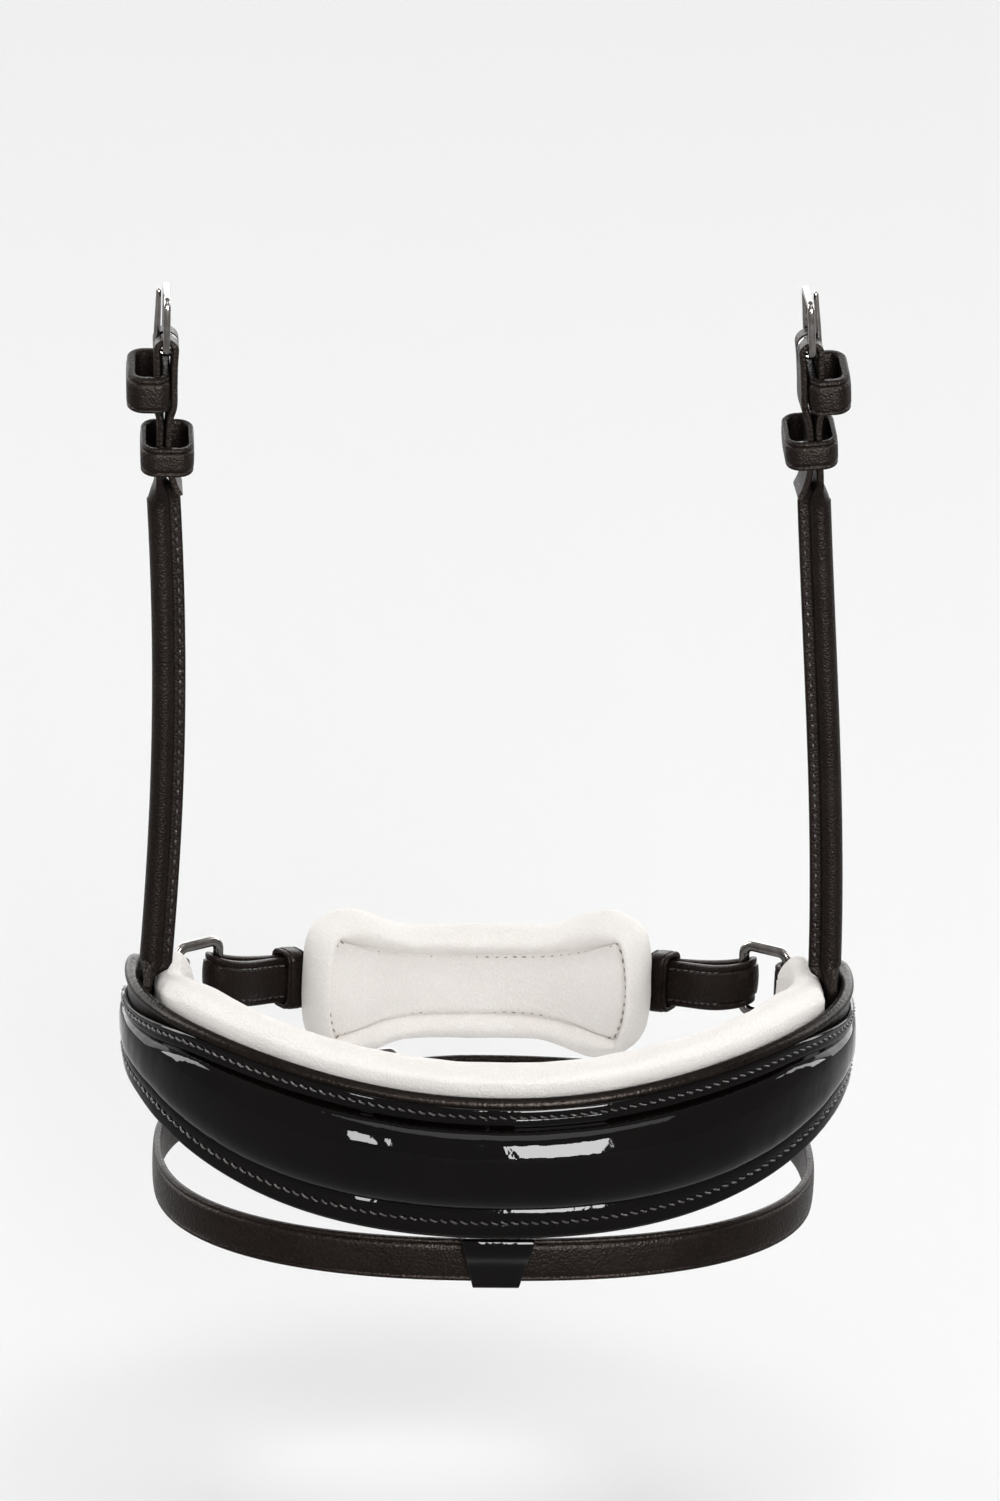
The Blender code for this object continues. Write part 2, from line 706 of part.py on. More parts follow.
def add_buckle(names, route, heel, direction, heel_out, far_out, inner_width, pivot_moves):
    """Frame and prong on a heel bar at s = heel; direction leads to the far bar."""
    half_reach = BUCKLE_REACH / 2.0
    half_width = inner_width / 2.0 + RUNNING_GAP + BUCKLE_BAR / 2.0
    tilt = (far_out - heel_out) / BUCKLE_REACH
    outline = rounded_rectangle(half_reach, half_width, (BUCKLE_CORNER, BUCKLE_CORNER))
    pivot = route.place(heel, heel_out) if pivot_moves else ORIGIN

    def place(u, v, sideways):
        reach = half_reach + u
        return route.place(heel + direction * reach, heel_out + reach * tilt + sideways, v)

    add_hoop(names[0], outline, bar_section(BUCKLE_BAR, BUCKLE_THICKNESS), place, "steel", pivot)
    radius = PRONG_REACH - PRONG_DIAMETER / 2.0
    rest = far_out + BUCKLE_THICKNESS / 2.0 + GAP + PRONG_DIAMETER / 2.0
    path = arc(heel, heel_out, radius, -PRONG_WRAP_ANGLE * direction, 0.0, 8)
    path.append((heel + direction * 0.35 * BUCKLE_REACH, mix(heel_out + radius, rest, 0.35)))
    path.append((heel + direction * 0.75 * BUCKLE_REACH, mix(heel_out + radius, rest, 0.8)))
    path.append((heel + direction * (BUCKLE_REACH + PRONG_OVERHANG), rest))
    points = [route.place(s, out) for s, out in path]
    add_wire(names[1], points, PRONG_DIAMETER, 0.75, "steel", pivot)


def cut_slot(thing, route, start, end, out, name):
    """A slot through a strap, between two places along it, for a prong."""
    middle = (start + end) / 2.0
    centre = route.place(middle, out)
    along = (route.place(middle + MM, out) - centre).normalized()
    outward = (route.place(middle, out + MM) - centre).normalized()
    sizes = (SLOT_DEPTH, abs(end - start) / 2.0, PRONG_SLOT / 2.0)
    cut_box(thing, centre, sizes, (outward, along, outward.cross(along).normalized()), name)


def cut_fold_slot(thing, route, heel, out, name):
    """The slot in a fold of leather that lets the prong's loop go round the heel bar."""
    reach = PRONG_REACH + 2.0 * GAP
    cut_slot(thing, route, heel - reach, heel + reach, out, name)


def cut_prong_hole(thing, route, heel, direction, out, name):
    """The hole in the strap's free end that the prong goes through."""
    near = heel + direction * PRONG_HOLE_START
    cut_slot(thing, route, near, heel + direction * 0.75 * BUCKLE_REACH, out, name)


def add_keeper(name, route, s, width, out_low, out_high, strap_width, pivot_moves=False,
               corners=(KEEPER_CORNER, KEEPER_CORNER), tilt=0.0):
    """A loop of leather round straps between two depths, with room to slide; tilt is in degrees."""
    half_out = (out_high - out_low) / 2.0 + RUNNING_GAP + KEEPER_THICKNESS / 2.0
    half_wide = strap_width / 2.0 + RUNNING_GAP + KEEPER_THICKNESS / 2.0
    middle = (out_high + out_low) / 2.0
    outline = rounded_rectangle(half_out, half_wide, [min(corner, 0.8 * half_out) for corner in corners])
    slope = math.tan(math.radians(tilt))

    def place(u, v, sideways):
        return route.place(s + sideways + slope * v, middle + u, v)

    pivot = route.place(s, middle) if pivot_moves else None
    add_hoop(name, outline, band_section(KEEPER_THICKNESS, width), place, "black_leather", pivot)


# Chin piece
def chin_height(x):
    """The chin piece hangs lower in its middle than at the rings."""
    _, rear = ring_bars(1)
    return mix(CHIN_HEIGHT, TAB_HEIGHT - CHIN_STRAP_DROP, (x / rear.x) ** CHIN_SWEEP)


def chin_route():
    """The chin pad's back face and, past its ends, the lines to the rings' rear bars."""
    _, bar = ring_bars(1)
    half = []
    reach = CHIN_PAD_HALF_LENGTH - CHIN_ROUTE_INSET
    for step in range(19):
        x = reach * step / 18.0
        bend = max(0.0, x - CHIN_FLAT)
        half.append(Vector((x, CHIN_DEPTH - bend * bend / (2.0 * CHIN_BEND_RADIUS), 0.0)))
    start = half[-1]
    heading = (half[-1] - half[-2]).normalized() * CHIN_HANDLE
    turn = math.radians(RING_TURN)
    arrival = Vector((-math.cos(turn), math.sin(turn), 0.0)) * CHIN_HANDLE
    end = Vector((bar.x, bar.y, 0.0))
    half += geometry.interpolate_bezier(start, start + heading, end + arrival, end, 12)[1:]
    for point in half:
        point.z = chin_height(point.x)
    mirrored = [Vector((-point.x, point.y, point.z)) for point in half[:0:-1]]
    length = sum((b - a).length for a, b in zip(half, half[1:]))
    return Route(mirrored + half, Vector((0.0, 0.0, 1.0)), -1, zero=length), length


CHIN, CHIN_REACH = chin_route()


def pad_outline(angle):
    """The chin pad's outline: a squared oval that flares from its waist to its ends."""
    cosine = math.cos(angle)
    sine = math.sin(angle)
    s = CHIN_PAD_HALF_LENGTH * math.copysign(abs(cosine) ** CHIN_PAD_SQUARENESS, cosine)
    flare = CHIN_PAD_FLARE if sine > 0.0 else CHIN_PAD_LOWER_FLARE
    half_height = CHIN_PAD_WAIST + flare * blend(s, CHIN_PAD_FLARE_SPAN)
    return s, half_height * math.copysign(abs(sine) ** CHIN_PAD_SQUARENESS, sine), half_height


def add_chin_form(name, rings, steps, finish):
    """A closed form on the chin route from rings of (inset, share of the way in, height)."""
    loops = []
    for inset, share, height in rings:
        loop = []
        for step in range(steps):
            s, wide, half_height = pad_outline(2.0 * math.pi * (step + 0.5) / steps)
            s *= (1.0 - inset / CHIN_PAD_HALF_LENGTH) * (1.0 - share)
            wide *= (1.0 - inset / half_height) * (1.0 - share)
            loop.append(CHIN.place(s, -height, wide))
        loops.append(loop)
    thing = add_mesh(name, loops, finish)
    thing.modifiers.new("short_diagonals", "TRIANGULATE").quad_method = "SHORTEST_DIAGONAL"


def build_chin_pad():
    crown = CHIN_PAD_THICKNESS
    panel = CHIN_PANEL_THICKNESS
    border = CHIN_BORDER_WIDTH
    front = [(1.18 * border, share, panel) for share in (0.78, 0.5, 0.25)]
    front += [
        (1.09 * border, 0.0, panel), (border, 0.0, mix(panel, crown, 0.07)),
        (0.82 * border, 0.0, mix(panel, crown, 0.75)), (0.58 * border, 0.0, crown),
        (0.30 * border, 0.0, 0.94 * crown), (0.10 * border, 0.0, 0.72 * crown),
        (0.0, 0.0, 0.45 * crown), (0.06 * border, 0.0, 0.18 * crown), (0.2 * border, 0.0, 0.0),
    ]
    inset = CHIN_BACKING_INSET
    back = [(inset, share, 0.0) for share in (0.0, 0.3, 0.6, 0.9)]
    add_chin_form("chin_pad", front + back, CHIN_FORM_STEPS, "white_leather")
    near = -GAP
    far = -GAP - CHIN_BACKING_THICKNESS
    plate = [(inset, share, near) for share in (0.9, 0.6, 0.3, 0.0)]
    plate += [(inset, share, far) for share in (0.0, 0.3, 0.6, 0.9)]
    add_chin_form("chin_backing", plate, CHIN_FORM_STEPS, "black_leather")


CHIN_INNER = CHIN_BACKING_THICKNESS + 2.0 * GAP + CHIN_STRAP_THICKNESS / 2.0
CHIN_OUTER = CHIN_INNER + CHIN_STRAP_THICKNESS + RUNNING_GAP
CHIN_FOLD = RING_BAR / 2.0 + RUNNING_GAP + CHIN_STRAP_THICKNESS / 2.0


def chin_layer(s, base, end):
    """Depth of a strap layer between the pad and the ring's bar."""
    share = ease((s - CHIN_SPREAD_START) / (CHIN_REACH - CHIN_SPREAD_START))
    return mix(base, end, share)


def build_chin_strap(label, side):
    """The strap as three pieces that meet under the keeper: base, loop round the ring, billet."""
    cut = CHIN_KEEPER_PLACE
    base_end = CHIN_BUCKLE_PLACE + PRONG_REACH + 2.0 * GAP
    inner = [(s * side, chin_layer(s, CHIN_INNER, -CHIN_FOLD))
             for s in [mix(base_end, cut - GAP / 2.0, step / 6.0) for step in range(7)]]
    flat = strap_section(CHIN_STRAP_THICKNESS, CHIN_STRAP_WIDTH)
    add_strip(f"chin_base_{label}", CHIN, inner, flat, "black_leather")

    run = [mix(cut + GAP / 2.0, CHIN_REACH, step / 6.0) for step in range(6)]
    loop = [(s * side, chin_layer(s, CHIN_INNER, -CHIN_FOLD)) for s in run]
    loop += [(s * side, out) for s, out in arc(CHIN_REACH, 0.0, CHIN_FOLD, 180.0, 0.0, 8)]
    loop += [(s * side, chin_layer(s, CHIN_OUTER, CHIN_FOLD)) for s in run[::-1]]
    add_strip(f"chin_strap_{label}", CHIN, loop, flat, "black_leather")

    heel = CHIN_BUCKLE_PLACE
    over = CHIN_OVER
    far = heel + BUCKLE_REACH
    run = [mix(cut - GAP / 2.0, far + 0.7 * STRAP_EASE, step / 4.0) for step in range(5)]
    billet = [(s, chin_layer(s, CHIN_OUTER, CHIN_FOLD)) for s in run]
    billet += [(far - 0.7 * STRAP_EASE, CHIN_OUTER), (heel + 2.0 * STRAP_EASE, mix(CHIN_OUTER, over, 0.80))]
    billet += [(heel + STRAP_EASE, over), (heel, over)]
    billet += [(mix(heel, CHIN_TAIL_END, share), over) for share in (0.25, 0.5, 0.75, 1.0)]
    tip = strap_section(CHIN_STRAP_THICKNESS, 0.6 * CHIN_STRAP_WIDTH)
    sections = [flat] * (len(billet) - 1) + [tip]
    points = [(s * side, out) for s, out in billet]
    thing = add_strip(f"chin_billet_{label}", CHIN, points, sections, "black_leather")
    cut_prong_hole(thing, CHIN, heel * side, side, mix(CHIN_OUTER, over, 0.5), f"chin_hole_{label}")


CHIN_CHAPE_FOLD = BUCKLE_THICKNESS / 2.0 + RUNNING_GAP + CHAPE_THICKNESS / 2.0
CHIN_HEEL_OUT = CHIN_BACKING_THICKNESS + 2.0 * GAP + PRONG_REACH
CHIN_OVER = CHIN_HEEL_OUT + PRONG_REACH + GAP + CHIN_STRAP_THICKNESS / 2.0


def build_chin_buckle(label, side):
    heel = CHIN_BUCKLE_PLACE
    start = CHIN_CHAPE_START
    low = CHIN_HEEL_OUT - CHIN_CHAPE_FOLD
    high = CHIN_HEEL_OUT + CHIN_CHAPE_FOLD
    chape = [(mix(start, heel, share), low) for share in (0.0, 0.35, 0.7)]
    chape += arc(heel, CHIN_HEEL_OUT, CHIN_CHAPE_FOLD, 180.0, 0.0, 8)
    chape += [(mix(start, heel, share), high) for share in (0.75, 0.62)]
    points = [(s * side, out) for s, out in chape]
    section = strap_section(CHAPE_THICKNESS, CHIN_STRAP_WIDTH)
    thing = add_strip(f"chin_chape_{label}", CHIN, points, section, "black_leather")
    cut_fold_slot(thing, CHIN, heel * side, CHIN_HEEL_OUT, f"chin_slot_{label}")
    far = CHIN_OUTER + CHIN_STRAP_THICKNESS / 2.0 + RUNNING_GAP + BUCKLE_THICKNESS / 2.0
    names = (f"chin_buckle_{label}", f"chin_prong_{label}")
    add_buckle(names, CHIN, heel * side, side, CHIN_HEEL_OUT, far, CHIN_STRAP_WIDTH, False)
    ends = [CHIN_KEEPER_PLACE + CHIN_KEEPER_WIDTH * share for share in (-0.5, 0.5)]
    low_face = min(chin_layer(s, CHIN_INNER, -CHIN_FOLD) for s in ends) - CHIN_STRAP_THICKNESS / 2.0
    high_face = max(chin_layer(s, CHIN_OUTER, CHIN_FOLD) for s in ends) + CHIN_STRAP_THICKNESS / 2.0
    add_keeper(f"chin_keeper_{label}", CHIN, CHIN_KEEPER_PLACE * side, CHIN_KEEPER_WIDTH,
               low_face, high_face, CHIN_STRAP_WIDTH)
    over = CHIN_OVER + CHIN_STRAP_THICKNESS / 2.0
    under = low + CHAPE_THICKNESS / 2.0 + GAP + KEEPER_THICKNESS + RUNNING_GAP
    add_keeper(f"chin_tail_keeper_{label}", CHIN, CHIN_TAIL_KEEPER_PLACE * side, CHIN_TAIL_KEEPER_WIDTH,
               under, over, CHIN_STRAP_WIDTH)


# Flash strap
def flash_route():
    """The flash strap's middle line, from its heel bar round by the left, the front and the right."""
    heel_sine = abs(FLASH_BUCKLE_X / FLASH_HALF_WIDTH) ** (FLASH_POWER / 2.0)
    heel = math.degrees(math.asin(heel_sine)) + 180.0
    points = []
    lead = FLASH_LEAD_STEPS
    for step in range(-lead, 180 + lead):
        angle = math.radians(heel + 2.0 * step)
        point, _ = superellipse(angle, FLASH_HALF_WIDTH, FLASH_DEPTH, FLASH_POWER)
        point.z = FLASH_HEIGHT
        points.append(point)
    to_heel = sum((b - a).length for a, b in zip(points[:lead], points[1:lead + 1]))
    once_round = sum((b - a).length for a, b in zip(points[lead:], points[lead + 1:lead + 181]))
    return Route(points, Vector((0.0, 0.0, 1.0)), 1, zero=to_heel), once_round


FLASH, FLASH_TURN = flash_route()
FLASH_FOLD = BUCKLE_THICKNESS / 2.0 + RUNNING_GAP + FLASH_THICKNESS / 2.0
FLASH_FAR_OUT = -FLASH_FOLD + FLASH_FAR_RISE
FLASH_UNDER = FLASH_FAR_OUT - BUCKLE_THICKNESS / 2.0 - GAP - FLASH_THICKNESS / 2.0
FLASH_OVER = FLASH_THICKNESS + GAP


def build_flash():
    section = strap_section(FLASH_THICKNESS, FLASH_WIDTH)
    back = FLASH_BACK_LEAF
    profile = [(back, -2.0 * FLASH_FOLD), (0.5 * back, -2.0 * FLASH_FOLD)]
    profile += arc(0.0, -FLASH_FOLD, FLASH_FOLD, 180.0, 360.0, 8)
    turn = FLASH_TURN
    lap = turn - FLASH_LAP
    steps = 38
    profile += [(mix(FLASH_FOLD_RUN, lap, step / steps), 0.0) for step in range(steps + 1)]
    far = turn - BUCKLE_REACH
    profile += [
        (lap + FLASH_LAP_EASE, mix(0.0, FLASH_UNDER, 0.1)),
        (far - 0.9 * FLASH_LAP_EASE, mix(0.0, FLASH_UNDER, 0.6)),
        (far, FLASH_UNDER), (far + 1.3 * STRAP_EASE, mix(FLASH_UNDER, FLASH_OVER, 0.14)),
        (turn - 2.0 * STRAP_EASE, mix(FLASH_UNDER, FLASH_OVER, 0.80)), (turn - STRAP_EASE, FLASH_OVER),
        (turn, FLASH_OVER),
    ]
    profile += [(turn + mix(0.0, FLASH_TAIL, share), FLASH_OVER) for share in (0.2, 0.4, 0.6, 0.8, 0.93, 1.0)]
    tip = strap_section(FLASH_THICKNESS, 0.55 * FLASH_WIDTH)
    sections = [section] * (len(profile) - 1) + [tip]
    strap = add_strip("flash_strap", FLASH, profile, sections, "black_leather")
    hole_out = mix(FLASH_UNDER, FLASH_OVER, 0.5)
    cut_prong_hole(strap, FLASH, turn, -1, hole_out, "flash_hole")
    cut_fold_slot(strap, FLASH, 0.0, -FLASH_FOLD, "flash_slot")
    names = ("flash_buckle", "flash_prong")
    add_buckle(names, FLASH, 0.0, -1, -FLASH_FOLD, FLASH_FAR_OUT, FLASH_WIDTH, False)
    outer_face = FLASH_OVER + FLASH_THICKNESS / 2.0
    inner_face = -2.0 * FLASH_FOLD - FLASH_THICKNESS / 2.0
    add_keeper("flash_keeper", FLASH, FLASH_KEEPER_PLACE, FLASH_KEEPER_WIDTH,
               inner_face, outer_face, FLASH_WIDTH)
    add_keeper("flash_runner", FLASH, FLASH_RUNNER_PLACE, FLASH_KEEPER_WIDTH,
               -FLASH_THICKNESS / 2.0, outer_face, FLASH_WIDTH, pivot_moves=True)


def build_flash_loop():
    """A loop of patent leather under the noseband's lower edge, round the flash strap."""
    half = FLASH_LOOP_THICKNESS / 2.0
    front = -FLASH_DEPTH - FLASH_THICKNESS / 2.0 - RUNNING_GAP - half
    back = -FLASH_DEPTH + FLASH_THICKNESS / 2.0 + RUNNING_GAP + half
    low = FLASH_HEIGHT - FLASH_WIDTH / 2.0 - RUNNING_GAP - half
    high = FLASH_HEIGHT + FLASH_WIDTH / 2.0 + GAP + half
    hang = BOTTOM_FRONT - GAP - half
    edge = -BAND_FRONT_DEPTH + half
    corner = FLASH_LOOP_CORNER
    inner = 0.3 * corner
    outline = [
        (edge, hang - 0.7 * corner), (edge + inner, hang - 4.0 * corner),
        (mix(edge, front, 0.6), mix(hang, low, 0.5)),
        (front, low + 1.6 * corner), (front + inner, low + inner), (front + corner, low),
        (back - corner, low), (back - inner, low + inner), (back, low + corner),
        (back, high - corner), (back - inner, high - inner), (back - corner, high),
        (edge + 2.0 * corner, high), (edge + 0.7 * corner, hang),
    ]
    outline.reverse()
    section = band_section(FLASH_LOOP_THICKNESS, FLASH_LOOP_TOP_WIDTH)

    def place(u, v, sideways):
        share = (v - low) / (hang - low)
        width = mix(FLASH_LOOP_BOTTOM_WIDTH, FLASH_LOOP_TOP_WIDTH, share)
        return Vector((sideways * width / FLASH_LOOP_TOP_WIDTH, u, v))

    add_hoop("flash_loop", outline, section, place, "patent", Vector((0.0, edge, hang)))


# Cheek straps
CHEEK_FOLD = BUCKLE_THICKNESS / 2.0 + RUNNING_GAP + CHEEK_THICKNESS / 2.0
CHEEK_APART = KEEPER_THICKNESS / 2.0 + RUNNING_GAP + CHEEK_THICKNESS / 2.0
CHEEK_TOGETHER = (CHEEK_THICKNESS + GAP) / 2.0


def cheek_leaf(drop):
    """Distance of each leaf from the middle line, at a drop below the heel bar."""
    if drop < CHEEK_LEAVES_APART[1]:
        return mix(CHEEK_FOLD, CHEEK_APART, min(drop / CHEEK_LEAVES_APART[0], 1.0))
    share = (drop - CHEEK_LEAVES_APART[1]) / (CHEEK_LEAVES_TOGETHER - CHEEK_LEAVES_APART[1])
    return mix(CHEEK_APART, CHEEK_TOGETHER, min(share, 1.0))


def cheek_route(line):
    """A cheek strap's middle line and the length along it at which its heel bar lies."""
    side = line["side"]
    lean = math.radians(line["lean"])
    root = Vector((side * (BAND_HALF_WIDTH - line["root_inset"]), CHEEK_Y, CHEEK_ROOT_Z))
    top = Vector((side * (BAND_HALF_WIDTH - line["top_inset"]), CHEEK_Y, CHEEK_TOP_Z))
    first = root + Vector((side * line["bow"], 0.0, CHEEK_HANDLE))
    drift = line["bow"] + CHEEK_HANDLE * math.tan(lean)
    second = top + Vector((side * drift, 0.0, -CHEEK_HANDLE))
    points = geometry.interpolate_bezier(root, first, second, top, 25)
    length = sum((b - a).length for a, b in zip(points, points[1:]))
    climb = Vector((-side * math.sin(lean), 0.0, math.cos(lean)))
    rise = line["buckle"] - CHEEK_TOP_Z
    points += [top + climb * share * rise for share in (0.2, 0.6, 1.0, 1.4)]
    return Route(points, Vector((0.0, 1.0, 0.0)), -side), length + rise


def cheek_section(roll, thickness):
    """Blend of a flat strap and a rolled one with a stitched flange, as (lift, wide) points."""
    half = thickness / 2.0
    wide = CHEEK_WIDTH / 2.0
    cut = CHEEK_EDGE_CUT
    flange = CHEEK_FLANGE
    flat = [
        (-half, 0.2 * wide), (-half, 0.6 * wide), (cut - half, wide), (half - cut, wide),
        (half, wide - cut), (half, 0.45 * wide), (half, 0.0), (half, -0.45 * wide),
        (half, cut - wide), (half - cut, -wide), (cut - half, -wide), (-half, -0.6 * wide),
        (-half, -0.2 * wide),
    ]
    centre = CHEEK_HALF_ROLL - CHEEK_ROLL_BACK
    body = [math.radians(40.0 + 35.0 * step) for step in range(9)]
    rolled = [(-CHEEK_HALF_ROLL, flange), (-0.4 * CHEEK_HALF_ROLL, flange)]
    rolled += [(centre - CHEEK_ROLL_BACK * math.cos(a), CHEEK_ROLL_DEPTH * math.sin(a)) for a in body]
    rolled += [(-0.4 * CHEEK_HALF_ROLL, -flange), (-CHEEK_HALF_ROLL, -flange)]
    return [(mix(a[0], b[0], roll), mix(a[1], b[1], roll)) for a, b in zip(flat, rolled)]


def build_cheek(label):
    line = CHEEK_LINES[label]
    route, heel = cheek_route(line)
    root_inset = BACKING_THICKNESS + GAP + POCKET_SLACK + CHEEK_ROOT_THICKNESS / 2.0
    rolled_from = CHEEK_ROLL_START
    rolled_to = heel - CHEEK_ROLL_END
    stations = []
    for share, held, roll in ((0.0, 1.0, 0.0), (0.55, 1.0, 0.0), (0.8, 0.6, 0.5), (1.0, 0.0, 1.0)):
        inset = BAND_HALF_WIDTH - abs(route.place(share * rolled_from).x)
        stations.append((share * rolled_from, held * (inset - root_inset), roll))
    steps = 10
    stations += [(mix(rolled_from, rolled_to, step / steps), 0.0, 1.0) for step in range(1, steps + 1)]
    flat_from = rolled_to + CHEEK_ROLL_EASE
    drops = (CHEEK_LEAVES_TOGETHER, CHEEK_LEAVES_APART[1], CHEEK_LEAVES_APART[0])
    stations += [(mix(rolled_to, flat_from, 0.5), 0.5 * CHEEK_TOGETHER, 0.5)]
    stations += [(flat_from, CHEEK_TOGETHER, 0.0)]
    stations += [(heel - drop, cheek_leaf(drop), 0.0) for drop in drops]
    stations += [(s, out, 0.0) for s, out in arc(heel, 0.0, CHEEK_FOLD, 0.0, 180.0, 8)]
    stations += [(heel - drop, -cheek_leaf(drop), 0.0) for drop in drops[::-1]]
    tail = heel - CHEEK_TAIL
    stations += [(tail + 0.24 * CHEEK_TAIL, -CHEEK_TOGETHER, 0.0)]
    stations += [(tail + 0.09 * CHEEK_TAIL, -CHEEK_TOGETHER - 0.45 * CHEEK_TAIL_CURL, 0.0)]
    stations += [(tail, -CHEEK_TOGETHER - CHEEK_TAIL_CURL, 0.0)]
    sections = []
    for s, _, roll in stations:
        thinning = ease((s - rolled_from) / (rolled_to - rolled_from))
        sections.append(cheek_section(roll, mix(CHEEK_ROOT_THICKNESS, CHEEK_THICKNESS, thinning)))
    profile = [(s, out) for s, out, _ in stations]
    strap = add_strip(f"cheek_strap_{label}", route, profile, sections, "black_leather")
    cut_fold_slot(strap, route, heel, 0.0, f"cheek_slot_{label}")
    names = (f"cheek_buckle_{label}", f"cheek_prong_{label}")
    add_buckle(names, route, heel, 1, 0.0, 0.0, CHEEK_WIDTH, True)
    wall = KEEPER_THICKNESS + RUNNING_GAP
    add_keeper(f"cheek_keeper_{label}", route, heel - CHEEK_KEEPER_DROP, CHEEK_KEEPER_WIDTH,
               RUNNING_GAP + KEEPER_THICKNESS / 2.0, CHEEK_KEEPER_BULGE - wall, CHEEK_WIDTH,
               corners=(KEEPER_CORNER, CHEEK_KEEPER_CORNER), tilt=CHEEK_KEEPER_TILT)
    add_keeper(f"cheek_runner_{label}", route, heel - line["runner_drop"], KEEPER_WIDTH,
               wall - CHEEK_RUNNER_REACH_IN, CHEEK_RUNNER_REACH_OUT - wall, CHEEK_WIDTH, pivot_moves=True,
               corners=(CHEEK_KEEPER_CORNER, CHEEK_KEEPER_CORNER), tilt=CHEEK_KEEPER_TILT)


build_backing()
build_patent()
build_filler()
build_nose_pad()
build_chin_pad()
for side_name, side_sign in SIDES.items():
    build_tab(f"nose_tab_{side_name}", side_sign)
    build_ring(f"crank_ring_{side_name}", side_sign)
    build_chin_strap(side_name, side_sign)
    build_chin_buckle(side_name, side_sign)
    build_cheek(side_name)
build_flash()
build_flash_loop()
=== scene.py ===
"""Looks of the padded noseband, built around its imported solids."""
import math

import bmesh
import bpy
import numpy as np
from mathutils import Matrix, Vector, geometry, noise


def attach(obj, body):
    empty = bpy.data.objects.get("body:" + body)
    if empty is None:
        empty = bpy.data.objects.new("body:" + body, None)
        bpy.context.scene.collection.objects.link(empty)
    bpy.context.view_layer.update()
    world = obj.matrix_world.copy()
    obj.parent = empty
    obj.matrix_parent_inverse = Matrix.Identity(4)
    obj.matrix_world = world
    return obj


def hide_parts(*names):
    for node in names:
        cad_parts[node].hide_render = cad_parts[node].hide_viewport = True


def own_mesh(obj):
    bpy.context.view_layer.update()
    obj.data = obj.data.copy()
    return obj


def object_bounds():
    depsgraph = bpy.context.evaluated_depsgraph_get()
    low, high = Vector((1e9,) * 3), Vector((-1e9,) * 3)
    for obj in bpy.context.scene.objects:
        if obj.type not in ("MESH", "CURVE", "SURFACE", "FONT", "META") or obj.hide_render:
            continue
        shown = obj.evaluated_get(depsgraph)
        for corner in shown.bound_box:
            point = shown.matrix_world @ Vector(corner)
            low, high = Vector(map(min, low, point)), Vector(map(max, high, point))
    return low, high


MM = 0.001
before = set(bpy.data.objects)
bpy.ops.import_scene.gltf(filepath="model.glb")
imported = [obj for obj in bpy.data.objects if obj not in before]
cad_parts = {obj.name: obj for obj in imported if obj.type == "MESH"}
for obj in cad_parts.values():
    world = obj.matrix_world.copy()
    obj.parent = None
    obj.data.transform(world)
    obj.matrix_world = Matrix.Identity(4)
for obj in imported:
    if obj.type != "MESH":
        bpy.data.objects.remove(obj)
CAD_BOX = [list(corner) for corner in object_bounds()]

# Sizes, as in the solids: clearances first
GAP = 0.35 * MM
RUNNING_GAP = 0.6 * MM

# Noseband plan: a superellipse on the outer face of the backing
BAND_HALF_WIDTH = 113.3 * MM
BAND_FRONT_DEPTH = 80.0 * MM
BAND_REAR_DEPTH = 60.0 * MM
BAND_POWER = 2.1
BAND_END_ANGLE = 118.9
BAND_STATIONS = 34

# Noseband heights: top and bottom edge at the front, the side and the end
TOP_FRONT = 14.5 * MM
TOP_SIDE = 25.5 * MM
TOP_HOLLOW = 11.5 * MM
BOTTOM_FRONT = -32.0 * MM
BOTTOM_SIDE = -7.0 * MM
BOTTOM_HOLLOW = -12.0 * MM
TAB_HEIGHT = 7.0 * MM
TAB_WIDTH = 15.0 * MM
EAR_ANGLE = 96.0

# Noseband layers
BACKING_THICKNESS = 3.0 * MM
PATENT_THICKNESS = 1.2 * MM
PATENT_END_ANGLE = 104.0
PATENT_TOP_INSET = 2.8 * MM
PATENT_TOP_INSET_SIDE = 9.0 * MM
PATENT_BOTTOM_INSET = 1.2 * MM
PATENT_BOTTOM_INSET_SIDE = 2.2 * MM
PATENT_SIDE_SPAN = (50.0, 90.0)
PATENT_CLOSE_SPAN = (93.0, 105.0)
FLANGE_TOP = 6.2 * MM
FLANGE_BOTTOM = 9.4 * MM
DOME_HEIGHT = 6.3 * MM
DOME_HEIGHT_SIDE = 0.9 * MM
DOME_SPAN = (22.0, 88.0)

# Nose pad
PAD_THICKNESS = 14.0 * MM
PAD_END_THICKNESS = 7.5 * MM
PAD_END_ANGLE = 116.0
PAD_RISE = 8.6 * MM
PAD_SIDE_DROP = 10.2 * MM
PAD_END_LIFT = 8.0 * MM
PAD_DROP = 0.5 * MM
PAD_DROP_FLANK = 3.6 * MM
PAD_FLAT = 6.0 * MM
POCKET_SLACK = 1.1 * MM
POCKET_SPAN = (66.0, 80.0)
PAD_THIN_SPAN = (70.0, 113.0)
PAD_SIDE_SPAN = (58.0, 92.0)
PAD_END_SPAN = (94.0, 112.0)
PAD_FLANK_SPAN = (12.0, 37.0)
PAD_FLANK_END_SPAN = (62.0, 87.0)

# Tabs and crank rings
TAB_THICKNESS = 1.8 * MM
TAB_LENGTH = 13.0 * MM
TAB_SLACK = 0.4 * MM
RING_BAR = 3.4 * MM
RING_THICKNESS = 2.4 * MM
RING_LENGTH = 18.8 * MM
RING_INNER_HEIGHT = 19.0 * MM
RING_CORNER = 3.0 * MM
RING_TURN = 32.7

